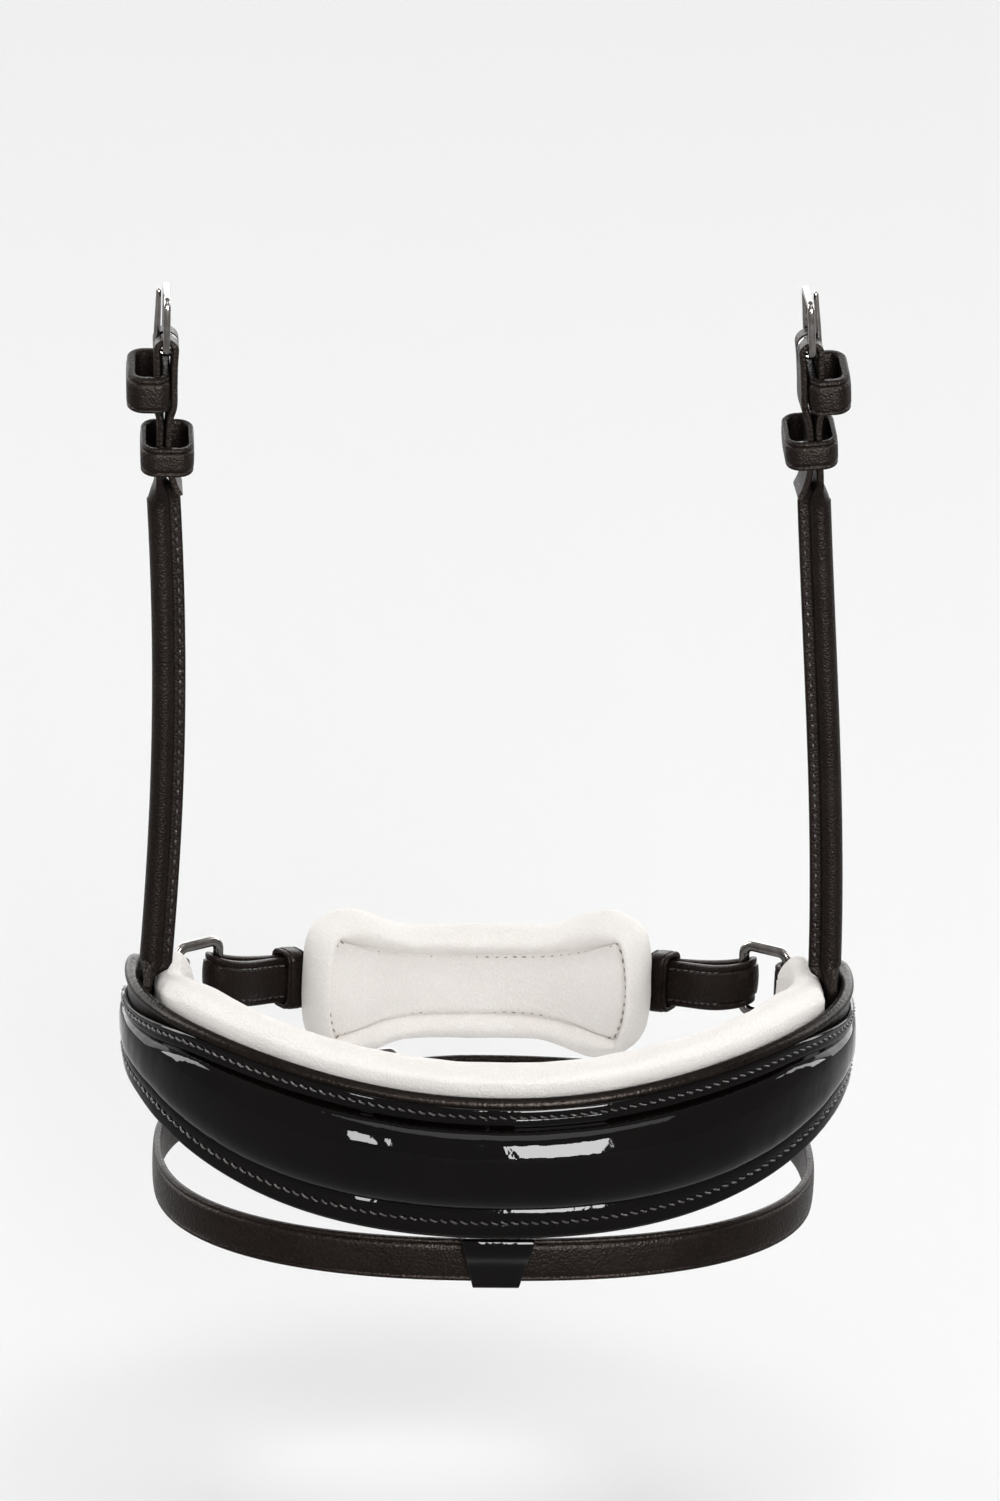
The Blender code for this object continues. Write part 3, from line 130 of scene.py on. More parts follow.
# Chin piece
CHIN_DEPTH = 76.0 * MM
CHIN_FLAT = 10.0 * MM
CHIN_BEND_RADIUS = 63.0 * MM
CHIN_HEIGHT = -8.0 * MM
CHIN_SWEEP = 3.2
CHIN_PAD_HALF_LENGTH = 61.5 * MM
CHIN_PAD_WAIST = 19.2 * MM
CHIN_PAD_FLARE = 10.4 * MM
CHIN_PAD_LOWER_FLARE = 7.8 * MM
CHIN_PAD_FLARE_SPAN = (21.0 * MM, 51.0 * MM)
CHIN_PAD_SQUARENESS = 0.48
CHIN_ROUTE_INSET = 3.0 * MM
CHIN_HANDLE = 12.0 * MM
CHIN_PAD_THICKNESS = 12.6 * MM
CHIN_PANEL_THICKNESS = 8.4 * MM
CHIN_PANEL_CORNER = (52.6 * MM, 17.4 * MM)
CHIN_PANEL_WAIST = 10.1 * MM
CHIN_PANEL_BOW = 3.9 * MM
CHIN_PANEL_POWER = 3.0
CHIN_BACKING_INSET = 5.2 * MM
CHIN_BACKING_THICKNESS = 2.0 * MM
CHIN_STRAP_WIDTH = 15.4 * MM
CHIN_STRAP_THICKNESS = 2.0 * MM
CHIN_STRAP_DROP = 2.0 * MM
CHIN_KEEPER_PLACE = 61.5 * MM
CHIN_KEEPER_WIDTH = 8.0 * MM
CHIN_BUCKLE_PLACE = 22.0 * MM
CHIN_TAIL_END = 4.0 * MM
CHIN_TAIL_KEEPER_PLACE = 9.0 * MM
CHIN_TAIL_KEEPER_WIDTH = 7.0 * MM
CHIN_SPREAD_START = 65.5 * MM
CHIN_CHAPE_START = 3.0 * MM
CHIN_FOLD_LEAD = 2.4 * MM
CHIN_TAKE_UP = 12.0 * MM
RING_SWING = 0.2616
STRAP_EASE = 3.0 * MM

# Flash strap and its loop
FLASH_SIDE_INSET = 10.3 * MM
FLASH_FRONT_INSET = 7.4 * MM
FLASH_HALF_WIDTH = BAND_HALF_WIDTH - FLASH_SIDE_INSET
FLASH_DEPTH = BAND_FRONT_DEPTH - FLASH_FRONT_INSET
FLASH_POWER = 2.4
FLASH_HEIGHT = -42.0 * MM
FLASH_WIDTH = 14.0 * MM
FLASH_THICKNESS = 2.4 * MM
FLASH_BUCKLE_X = -41.0 * MM
FLASH_BACK_LEAF = 22.0 * MM
FLASH_TAIL = 42.0 * MM
FLASH_LAP = 46.0 * MM
FLASH_LAP_EASE = 10.0 * MM
FLASH_FAR_RISE = 2.2 * MM
FLASH_KEEPER_PLACE = 9.0 * MM
FLASH_KEEPER_WIDTH = 8.0 * MM
FLASH_RUNNER_PLACE = 29.0 * MM
FLASH_LOOP_THICKNESS = 1.2 * MM
FLASH_LOOP_TOP_WIDTH = 22.5 * MM
FLASH_LOOP_BOTTOM_WIDTH = 14.5 * MM
FLASH_LOOP_CORNER = 1.2 * MM

# Buckles: a frame, a prong and the fold of leather on the frame's heel bar
BUCKLE_REACH = 16.0 * MM
BUCKLE_BAR = 2.5 * MM
BUCKLE_THICKNESS = 2.2 * MM
BUCKLE_CORNER = 2.0 * MM
PRONG_DIAMETER = 2.0 * MM
PRONG_OVERHANG = 1.2 * MM
PRONG_WRAP_ANGLE = 265.0
PRONG_SLOT = 3.4 * MM
PRONG_HOLE_START = 2.0 * MM
SLOT_DEPTH = 6.0 * MM
CHAPE_THICKNESS = 1.6 * MM
KEEPER_THICKNESS = 1.7 * MM
KEEPER_WIDTH = 9.0 * MM
KEEPER_CORNER = 2.4 * MM

# Cheek straps: the left and right one follow their own lines, as leather does
CHEEK_WIDTH = 15.0 * MM
CHEEK_THICKNESS = 2.2 * MM
CHEEK_ROOT_THICKNESS = 3.0 * MM
CHEEK_Y = -2.0 * MM
CHEEK_ROOT_Z = 12.0 * MM
CHEEK_TOP_Z = 180.0 * MM
CHEEK_ROLL_BACK = 3.7 * MM
CHEEK_ROLL_DEPTH = 3.9 * MM
CHEEK_HALF_ROLL = 5.0 * MM
CHEEK_FLANGE = 1.1 * MM
CHEEK_EDGE_CUT = 0.3 * MM
CHEEK_ROLL_EASE = 8.0 * MM
CHEEK_TAIL = 46.0 * MM
CHEEK_TAIL_CURL = 3.6 * MM
CHEEK_KEEPER_DROP = 11.6 * MM
CHEEK_KEEPER_WIDTH = 11.0 * MM
CHEEK_KEEPER_BULGE = 11.2 * MM
CHEEK_KEEPER_CORNER = 4.0 * MM
CHEEK_KEEPER_TILT = 11.0
CHEEK_RUNNER_REACH_IN = 9.0 * MM
CHEEK_RUNNER_REACH_OUT = 7.1 * MM
CHEEK_HANDLE = 60.0 * MM
CHEEK_ROLL_START = 16.0 * MM
CHEEK_ROLL_END = 49.0 * MM
CHEEK_LEAVES_APART = (5.0 * MM, 17.5 * MM)
CHEEK_LEAVES_TOGETHER = 23.0 * MM
CHEEK_LINES = {
    "left": {
        "side": -1, "root_inset": 7.4 * MM, "top_inset": 8.2 * MM, "bow": -4.2 * MM,
        "lean": 0.0, "buckle": 229.0 * MM, "runner_drop": 33.0 * MM,
    },
    "right": {
        "side": 1, "root_inset": 7.9 * MM, "top_inset": 18.5 * MM, "bow": 0.0,
        "lean": 4.5, "buckle": 231.0 * MM, "runner_drop": 30.0 * MM,
    },
}
SIDES = {"left": -1, "right": 1}

UP = Vector((0.0, 0.0, 1.0))


# Blends and lines of points
def mix(start, end, share):
    return start + (end - start) * share


def between(start, end, share):
    """Blend of two tuples."""
    return tuple(mix(a, b, share) for a, b in zip(start, end))


def ease(value):
    """Smooth step from 0 to 1."""
    value = min(max(value, 0.0), 1.0)
    return value * value * (3.0 - 2.0 * value)


def blend(place, span):
    """Smooth step over a span of angles or lengths, alike on both sides of the middle."""
    return ease((abs(place) - span[0]) / (span[1] - span[0]))


def spread(start, end, count):
    return [mix(start, end, index / (count - 1)) for index in range(count)]


def signed_power(value, power):
    return math.copysign(abs(value) ** power, value)


def polar(radius, degrees):
    """A point on a circle round the origin."""
    angle = math.radians(degrees)
    return radius * math.cos(angle), radius * math.sin(angle)


def running(points):
    """Length of a line of points up to each of them."""
    lengths = [0.0]
    for first, second in zip(points, points[1:]):
        lengths.append(lengths[-1] + math.dist(first, second))
    return lengths


def headings(points, closed=False):
    """Direction of a line of points at each of them."""
    count = len(points)
    result = []
    for index in range(count):
        before = points[index - 1 if closed or index else 0]
        after = points[(index + 1) % count if closed else min(index + 1, count - 1)]
        result.append(Vector([b - a for a, b in zip(before, after)]).normalized())
    return result


def even_goals(length, count):
    """Places along a length, evenly spaced and half a step in from both of its ends."""
    return [length * (step + 0.5) / count for step in range(count)]


def spline(points, steps, closed=False):
    """Smooth curve through points, given as tuples of any length, with steps spans between two of them."""
    array = np.array(points, float)
    count = len(array)
    spans = count if closed else count - 1
    result = []
    for index in range(spans):
        near = array[index]
        far = array[(index + 1) % count]
        before = array[index - 1] if closed or index > 0 else 2.0 * near - far
        after = array[(index + 2) % count] if closed or index + 2 < count else 2.0 * far - near
        for step in range(steps):
            t = step / steps
            result.append(0.5 * (
                2.0 * near + (far - before) * t + (2.0 * before - 5.0 * near + 4.0 * far - after) * t * t
                + (3.0 * near - before - 3.0 * far + after) * t ** 3))
    if not closed:
        result.append(array[-1])
    return [tuple(point) for point in result]


# Shapes that the pieces share with the solids
def superellipse(angle, half_width, depth, power):
    """Plan point at an angle from the front, with its outward direction."""
    sine = math.sin(angle)
    cosine = math.cos(angle)
    x = half_width * signed_power(sine, 2.0 / power)
    y = -depth * signed_power(cosine, 2.0 / power)
    slope_x = signed_power(x / half_width, power - 1.0) / half_width
    slope_y = signed_power(y / depth, power - 1.0) / depth
    return Vector((x, y, 0.0)), Vector((slope_x, slope_y, 0.0)).normalized()


def band_place(degrees, inward, height):
    """A point of the noseband: angle from the front, distance in from the outer face, height."""
    depth = BAND_FRONT_DEPTH if abs(degrees) < 90.0 else BAND_REAR_DEPTH
    point, outward = superellipse(math.radians(degrees), BAND_HALF_WIDTH, depth, BAND_POWER)
    point -= outward * inward
    point.z = height
    return point


def side_share(degrees):
    """0 at the front of the noseband and 1 at its side, by distance across."""
    if abs(degrees) > 90.0:
        return 1.0
    return math.sin(math.radians(degrees)) ** 2


def band_top(degrees):
    share = side_share(degrees)
    edge = mix(TOP_FRONT, TOP_SIDE, share) + TOP_HOLLOW * share * (1.0 - share)
    tab_edge = TAB_HEIGHT + TAB_WIDTH / 2.0
    return mix(edge, tab_edge, blend(degrees, (EAR_ANGLE, BAND_END_ANGLE)))


def band_bottom(degrees):
    share = side_share(degrees)
    edge = mix(BOTTOM_FRONT, BOTTOM_SIDE, share) + BOTTOM_HOLLOW * share * (1.0 - share)
    tab_edge = TAB_HEIGHT - TAB_WIDTH / 2.0
    return mix(edge, tab_edge, blend(degrees, (90.0, BAND_END_ANGLE)))


# Nose pad section
def pad_offset(degrees):
    """Distance from the backing's outer face to the pad: wider where a strap or tab lies between."""
    pocket = CHEEK_ROOT_THICKNESS + 2.0 * GAP + POCKET_SLACK
    return BACKING_THICKNESS + GAP + pocket * blend(degrees, POCKET_SPAN)


def pad_thickness(degrees):
    return mix(PAD_THICKNESS, PAD_END_THICKNESS, blend(degrees, PAD_THIN_SPAN))


def pad_top(degrees):
    side_drop = PAD_SIDE_DROP * blend(degrees, PAD_SIDE_SPAN)
    end_lift = PAD_END_LIFT * blend(degrees, PAD_END_SPAN)
    return band_top(degrees) + PAD_RISE - side_drop + end_lift


def pad_bottom(degrees):
    flank = blend(degrees, PAD_FLANK_SPAN) * (1.0 - blend(degrees, PAD_FLANK_END_SPAN))
    return band_bottom(degrees) - mix(PAD_DROP, PAD_DROP_FLANK, flank)


PAD_SECTION = [(0.0, 5.0 * MM), (0.14, 1.7 * MM), (0.42, 0.2 * MM), (0.78, 1.9 * MM), (0.96, 6.0 * MM)]


def pad_profile(degrees):
    """The pad's outline as (inward, height), from its top over the inner face to its bottom."""
    thickness = pad_thickness(degrees)
    top = pad_top(degrees)
    bottom = pad_bottom(degrees)
    middle = (top + bottom) / 2.0
    squeeze = min(1.0, (top - bottom) / 2.0 / (2.0 * PAD_FLAT))
    start = pad_offset(degrees)
    upper = [(start + share * thickness, top - drop * squeeze) for share, drop in PAD_SECTION]
    lower = [(start + share * thickness, bottom + drop * squeeze) for share, drop in PAD_SECTION]
    face = [(start + thickness, middle + PAD_FLAT * squeeze * sign) for sign in (1, -1)]
    return upper + face + lower[::-1]


def patent_edges(degrees):
    """Bottom and top edge of the patent, which close in towards its ends."""
    side = blend(degrees, PATENT_SIDE_SPAN)
    top = band_top(degrees) - mix(PATENT_TOP_INSET, PATENT_TOP_INSET_SIDE, side)
    bottom = band_bottom(degrees) + mix(PATENT_BOTTOM_INSET, PATENT_BOTTOM_INSET_SIDE, side)
    close = 0.30 * blend(degrees, PATENT_CLOSE_SPAN) * (top - bottom)
    return bottom + close, top - close


def dome_height(degrees):
    return mix(DOME_HEIGHT, DOME_HEIGHT_SIDE, blend(degrees, DOME_SPAN))


def dome_shape(share):
    return (1.0 - abs(2.0 * share - 1.0) ** 2.6) ** 0.6


def dome_bounds(degrees):
    bottom, top = patent_edges(degrees)
    height = top - bottom
    return bottom + min(FLANGE_BOTTOM, 0.3 * height), top - min(FLANGE_TOP, 0.2 * height)


MIDDLE_ANGLE = BAND_END_ANGLE / (BAND_STATIONS - 1)
ORIGIN = Vector((
    0.0, band_place(MIDDLE_ANGLE, pad_offset(0.0) + pad_thickness(0.0), 0.0).y,
    (pad_top(MIDDLE_ANGLE) + pad_bottom(MIDDLE_ANGLE)) / 2.0))


class Route:
    """A line that straps follow: s runs along it, out leads away from the horse."""

    def __init__(self, points, across, turn, zero=0.0):
        self.points = points
        self.across = across
        self.turn = turn
        self.starts = [length - zero for length in running(points)]
        self.tangents = headings(points)

    def place(self, s, out=0.0, wide=0.0):
        index = int(np.searchsorted(self.starts, s)) - 1
        index = min(max(index, 0), len(self.points) - 2)
        share = (s - self.starts[index]) / (self.starts[index + 1] - self.starts[index])
        point = self.points[index].lerp(self.points[index + 1], share)
        tangent = self.tangents[index].lerp(self.tangents[index + 1], min(max(share, 0.0), 1.0))
        outward = tangent.cross(self.across).normalized() * self.turn
        return point + outward * out + self.across * wide


def arc(s, out, radius, start, end, steps):
    angles = [math.radians(mix(start, end, index / steps)) for index in range(steps + 1)]
    return [(s + radius * math.sin(a), out + radius * math.cos(a)) for a in angles]


def rounded_rectangle(half_u, half_v, radii, corner_steps=8, side_steps=5):
    """Outline of a rectangle; the radii are those of its low and its high u end."""
    corners = []
    for quarter, (sign_u, sign_v) in enumerate(((1, 1), (-1, 1), (-1, -1), (1, -1))):
        radius = radii[max(sign_u, 0)]
        turns = [polar(radius, 90.0 * (quarter + step / corner_steps)) for step in range(corner_steps + 1)]
        corners.append([(sign_u * (half_u - radius) + u, sign_v * (half_v - radius) + v) for u, v in turns])
    points = []
    for corner, following in zip(corners, corners[1:] + corners[:1]):
        points += corner
        shares = spread(0.0, 1.0, side_steps + 1)[1:-1]
        points += [between(corner[-1], following[0], share) for share in shares]
    return points


def ring_bars(side):
    end = band_place(BAND_END_ANGLE * side, BACKING_THICKNESS / 2.0, TAB_HEIGHT)
    before = band_place((BAND_END_ANGLE - 2.0) * side, BACKING_THICKNESS / 2.0, TAB_HEIGHT)
    front = end + (end - before).normalized() * (GAP + RUNNING_GAP + RING_BAR / 2.0)
    turn = math.radians(RING_TURN)
    return front, front + Vector((-side * math.cos(turn), math.sin(turn), 0.0)) * (RING_LENGTH - RING_BAR)


def chin_route():
    _, bar = ring_bars(1)
    half = []
    for x in spread(0.0, CHIN_PAD_HALF_LENGTH - CHIN_ROUTE_INSET, 55):
        bend = max(0.0, x - CHIN_FLAT)
        half.append(Vector((x, CHIN_DEPTH - bend * bend / (2.0 * CHIN_BEND_RADIUS), 0.0)))
    heading = (half[-1] - half[-2]).normalized() * CHIN_HANDLE
    turn = math.radians(RING_TURN)
    arrival = Vector((-math.cos(turn), math.sin(turn), 0.0)) * CHIN_HANDLE
    end = Vector((bar.x, bar.y, 0.0))
    half += geometry.interpolate_bezier(half[-1], half[-1] + heading, end + arrival, end, 34)[1:]
    for point in half:
        point.z = mix(CHIN_HEIGHT, TAB_HEIGHT - CHIN_STRAP_DROP, (point.x / bar.x) ** CHIN_SWEEP)
    mirrored = [Vector((-point.x, point.y, point.z)) for point in half[:0:-1]]
    length = running(half)[-1]
    return Route(mirrored + half, UP, -1, zero=length), length


CHIN, CHIN_REACH = chin_route()


def flash_route():
    heel = math.degrees(math.asin(abs(FLASH_BUCKLE_X / FLASH_HALF_WIDTH) ** (FLASH_POWER / 2.0))) + 180.0
    points = []
    lead = 48
    for step in range(-lead, 360 + lead):
        point, _ = superellipse(math.radians(heel + step), FLASH_HALF_WIDTH, FLASH_DEPTH, FLASH_POWER)
        point.z = FLASH_HEIGHT
        points.append(point)
    to_heel = running(points[:lead + 1])[-1]
    once_round = running(points[lead:lead + 361])[-1]
    return Route(points, UP, 1, zero=to_heel), once_round


FLASH, FLASH_TURN = flash_route()


def cheek_route(line):
    side = line["side"]
    lean = math.radians(line["lean"])
    root = Vector((side * (BAND_HALF_WIDTH - line["root_inset"]), CHEEK_Y, CHEEK_ROOT_Z))
    top = Vector((side * (BAND_HALF_WIDTH - line["top_inset"]), CHEEK_Y, CHEEK_TOP_Z))
    first = root + Vector((side * line["bow"], 0.0, CHEEK_HANDLE))
    drift = line["bow"] + CHEEK_HANDLE * math.tan(lean)
    second = top + Vector((side * drift, 0.0, -CHEEK_HANDLE))
    points = geometry.interpolate_bezier(root, first, second, top, 90)
    length = running(points)[-1]
    climb = Vector((-side * math.sin(lean), 0.0, math.cos(lean)))
    rise = line["buckle"] - CHEEK_TOP_Z
    points += [top + climb * share * rise for share in (0.1, 0.3, 0.6, 1.0, 1.4)]
    return Route(points, Vector((0.0, 1.0, 0.0)), -side), length + rise


# Making meshes
SHARP_ANGLE = math.radians(52.0)


def ring_faces(rows, count, closed=False):
    """Faces over rings of points, with both ends capped unless the rings close on themselves."""
    faces = []
    for row in range(rows if closed else rows - 1):
        a = row * count
        b = ((row + 1) % rows) * count
        faces += [(a + i, a + (i + 1) % count, b + (i + 1) % count, b + i) for i in range(count)]
    if not closed:
        faces += [tuple(range(count)), tuple((rows - 1) * count + i for i in range(count))]
    return faces


def ring_mesh(name, rings, closed=False):
    mesh = bpy.data.meshes.new(name)
    points = [tuple(point - ORIGIN) for ring in rings for point in ring]
    mesh.from_pydata(points, [], ring_faces(len(rings), len(rings[0]), closed))
    work = bmesh.new()
    work.from_mesh(mesh)
    bmesh.ops.recalc_face_normals(work, faces=work.faces)
    work.to_mesh(mesh)
    work.free()
    return mesh


def shade(mesh):
    mesh.shade_smooth()
    mesh.set_sharp_from_angle(angle=SHARP_ANGLE)


def build(name, rings, material, body, replaced=(), closed=False):
    """A skin over rings of points, riding on a body and standing for its solids."""
    mesh = ring_mesh(name, rings, closed)
    shade(mesh)
    return settle(bpy.data.objects.new(name, mesh), material, body, replaced)


def settle(thing, material, body, replaced=()):
    bpy.context.scene.collection.objects.link(thing)
    thing.data.materials.append(material)
    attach(thing, body)
    if replaced:
        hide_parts(*replaced)
    return thing


def strap_section(thickness, width, crown=0.25 * MM, crease=1.9 * MM, depth=0.22 * MM):
    """Leather strap cut across: rounded edges, a crease along each edge and a slightly raised middle."""
    half = thickness / 2.0
    wide = width / 2.0
    edge = min(0.75 * half, 0.9 * MM)
    line = wide - crease
    turns = [polar(edge, degrees) for degrees in spread(0.0, 90.0, 5)]
    top = [(half - edge + rise, wide - edge + across) for across, rise in turns]
    top += [(half, line + 0.45 * MM), (half - 0.6 * depth, line + 0.2 * MM), (half - depth, line),
            (half - 0.5 * depth, line - 0.2 * MM)]
    top += [(half + crown * (1.0 - (w / wide) ** 2), w) for w in spread(line - 0.5 * MM, 0.0, 5)]
    face = top + [(lift, -w) for lift, w in top[-2::-1]]
    turns = [polar(edge, degrees) for degrees in (30, 60, 90)]
    bottom = [(-half + edge - rise, -wide + edge - across) for across, rise in turns]
    bottom += [(-half, share * wide) for share in (-0.5, 0.0, 0.5)]
    bottom += [(lift, -w) for lift, w in bottom[2::-1]]
    return face + bottom


def strip_rings(route, profile, sections):
    """Rings of a strap along a profile of (s, out), with one section or one for each of its points."""
    if not isinstance(sections[0], list):
        sections = [sections] * len(profile)
    return [[route.place(s - along.y * lift, out + along.x * lift, wide) for lift, wide in section]
            for (s, out), along, section in zip(profile, headings(profile), sections)]


def hoop_rings(outline, section, place):
    """Rings of a closed loop: its outline as (u, v), its section as (outward, sideways)."""
    return [[place(u + along.y * outward, v - along.x * outward, sideways) for outward, sideways in section]
            for (u, v), along in zip(outline, headings(outline, closed=True))]


def bar_section(width, thickness, steps=16, power=2.6):
    """A metal bar with well rounded faces."""
    angles = even_goals(2.0 * math.pi, steps)
    return [(signed_power(math.cos(a), 2.0 / power) * width / 2.0,
             signed_power(math.sin(a), 2.0 / power) * thickness / 2.0) for a in angles]


def keeper_section(width):
    """A keeper's leather cut across: outward is the visible face, with a crease along each edge."""
    half = KEEPER_THICKNESS / 2.0
    face = strap_section(KEEPER_THICKNESS, width, crown=0.15 * MM, crease=1.5 * MM, depth=0.3 * MM)
    return [(max(lift, -half), wide) for lift, wide in face]


def wire_rings(points, radii, steps=14):
    """Rings of a round wire, kept from twisting."""
    rings = []
    along = headings(points)
    side = along[0].orthogonal().normalized()
    circle = [polar(1.0, 360.0 * k / steps) for k in range(steps)]
    for point, heading, radius in zip(points, along, radii):
        side = (side - heading * side.dot(heading)).normalized()
        other = heading.cross(side)
        rings.append([point + (side * c + other * s) * radius for c, s in circle])
    return rings


def cut_slot(thing, route, start, end, out):
    """Cut a prong's slot through a strap and keep the result in its mesh."""
    middle = (start + end) / 2.0
    centre = route.place(middle, out)
    along = (route.place(middle + MM, out) - centre).normalized()
    outward = (route.place(middle, out + MM) - centre).normalized()
    across = outward.cross(along).normalized()
    outline = rounded_rectangle(abs(end - start) / 2.0, PRONG_SLOT / 2.0, 2 * [0.98 * PRONG_SLOT / 2.0], 5, 2)
    rings = [[centre + outward * depth + along * u + across * v for u, v in outline]
             for depth in (-SLOT_DEPTH, SLOT_DEPTH)]
    cutter = bpy.data.objects.new("cutter", ring_mesh("cutter", rings))
    bpy.context.scene.collection.objects.link(cutter)
    boolean = thing.modifiers.new("slot", "BOOLEAN")
    boolean.object = cutter
    apply_modifiers(thing)
    bpy.data.objects.remove(cutter, do_unlink=True)


def apply_modifiers(thing):
    bpy.context.view_layer.update()
    evaluated = thing.evaluated_get(bpy.context.evaluated_depsgraph_get())
    mesh = bpy.data.meshes.new_from_object(evaluated)
    thing.modifiers.clear()
    thing.data = mesh
    shade(mesh)


STITCH_SIDES = 6
STITCH_ROWS = 7


def stitch_rings(centre, along, across, normal, long, radius, sink):
    """Rings of one thread, which dips into the leather at both ends."""
    rings = []
    for t in spread(-1.0, 1.0, STITCH_ROWS):
        size = radius * math.sqrt(max(0.05, 1.0 - t ** 4))
        lift = radius * (1.0 - sink) - 1.5 * radius * t ** 4
        middle = centre + along * t * long / 2.0 + normal * lift
        turns = [polar(1.0, 360.0 * k / STITCH_SIDES) for k in range(STITCH_SIDES)]
        rings.append([middle + (across * c + normal * s) * size for c, s in turns])
    return rings


def stitches(name, places, material, body, length=2.3 * MM, pitch=3.2 * MM, radius=0.36 * MM, slant=0.0,
             sink=0.3, uneven=0.12):
    """Saddle stitches along a line of (point, outward) places."""
    points = [point for point, _ in places]
    starts = running(points)
    coordinates, faces = [], []
    stitch = ring_faces(STITCH_ROWS, STITCH_SIDES)
    stitch[-2] = stitch[-2][::-1]
    for number, s in enumerate(even_goals(starts[-1], max(1, int(starts[-1] / pitch)))):
        index = min(max(int(np.searchsorted(starts, s)) - 1, 0), len(points) - 2)
        share = (s - starts[index]) / max(starts[index + 1] - starts[index], 1e-9)
        middle = points[index].lerp(points[index + 1], share)
        normal = places[index][1].lerp(places[index + 1][1], share).normalized()
        along = (points[index + 1] - points[index]).normalized()
        along = (along - normal * along.dot(normal)).normalized()
        across = normal.cross(along)
        chance = [noise.noise(Vector((number * 7.3, part, 0.5))) for part in (1.5, 4.5, 8.5)]
        lean = slant + uneven * 1.2 * chance[0]
        c, s = math.cos(lean), math.sin(lean)
        along, across = along * c + across * s, across * c - along * s
        middle = middle + across * 0.5 * MM * uneven * chance[1]
        long = length * (1.0 + 1.4 * uneven * chance[2])
        base = len(coordinates)
        rings = stitch_rings(middle, along, across, normal, long, radius, sink)
        coordinates += [tuple(point - ORIGIN) for ring in rings for point in ring]
        faces += [tuple(base + corner for corner in face) for face in stitch]
    mesh = bpy.data.meshes.new(name)
    mesh.from_pydata(coordinates, [], faces)
    mesh.shade_smooth()
    return settle(bpy.data.objects.new(name, mesh), material, body)


# Materials
class Surface:
    """A procedural material and short ways to add its nodes."""

    def __init__(self, name, slot, **values):
        self.material = bpy.data.materials.new(name)
        self.material.use_nodes = True
        self.material["slot"] = slot
        self.tree = self.material.node_tree
        self.shader = self.tree.nodes["Principled BSDF"]
        self.where = self.tree.nodes.new("ShaderNodeTexCoord").outputs["Object"]
        for key, value in values.items():
            self.shader.inputs[key.replace("_", " ")].default_value = value

    def node(self, kind, **inputs):
        made = self.tree.nodes.new(kind)
        for key, value in inputs.items():
            if isinstance(value, bpy.types.NodeSocket):
                self.tree.links.new(value, made.inputs[key])
            elif key in made.inputs:
                made.inputs[key].default_value = value
            else:
                setattr(made, key, value)
        return made

    def noise(self, scale, detail=4.0, rough=0.5, distortion=0.0):
        return self.node("ShaderNodeTexNoise", Vector=self.where, Scale=scale, Detail=detail, Roughness=rough,
                         Distortion=distortion).outputs["Fac"]

    def cells(self, scale, feature="F1", randomness=1.0):
        return self.node("ShaderNodeTexVoronoi", Vector=self.where, Scale=scale, Randomness=randomness,
                         feature=feature).outputs["Distance"]

    def span(self, value, low, high, start=0.0, end=1.0):
        made = self.node("ShaderNodeMapRange", Value=value)
        for key, number in (("From Min", start), ("From Max", end), ("To Min", low), ("To Max", high)):
            made.inputs[key].default_value = number
        return made.outputs["Result"]

    def ramp(self, value, stops):
        made = self.node("ShaderNodeValToRGB", Fac=value)
        elements = made.color_ramp.elements
        while len(elements) < len(stops):
            elements.new(0.5)
        for element, (place, colour) in zip(elements, stops):
            element.position = place
            element.color = (*colour, 1.0)
        return made.outputs["Color"]

    def math(self, kind, a, b):
        made = self.tree.nodes.new("ShaderNodeMath")
        made.operation = kind
        for socket, value in zip(made.inputs, (a, b)):
            if isinstance(value, bpy.types.NodeSocket):
                self.tree.links.new(value, socket)
            else:
                socket.default_value = value
        return made.outputs["Value"]

    def bump(self, height, distance, strength=1.0, under=None):
        made = self.node("ShaderNodeBump", Height=height, Strength=strength, Distance=distance)
        if under is not None:
            self.tree.links.new(under, made.inputs["Normal"])
        return made.outputs["Normal"]

    def join(self, value, key):
        self.tree.links.new(value, self.shader.inputs[key])


def patent_material():
    """Nearly black leather under a clear coat, whose low index keeps it dark in a pale studio."""
    s = Surface("patent_leather", "patent", Specular_IOR_Level=0.0, Coat_Weight=1.0, Coat_Roughness=0.035,
                Coat_IOR=1.18)
    shades = [(0.3, (0.0012, 0.0008, 0.0007)), (0.7, (0.0028, 0.0019, 0.0017))]
    s.join(s.ramp(s.noise(35.0, 5.0), shades), "Base Color")
    s.join(s.span(s.noise(420.0, 3.0), 0.30, 0.45, 0.3, 0.7), "Roughness")
    wave = s.bump(s.noise(26.0, 2.0, 0.45, 0.4), 0.0016, 0.22)
    s.join(wave, "Normal")
    ripple = s.bump(s.noise(75.0, 3.0, 0.5, 0.6), 0.0008, 0.32, wave)
    s.join(s.bump(s.noise(330.0, 2.0), 0.00012, 0.18, ripple), "Coat Normal")
    return s.material


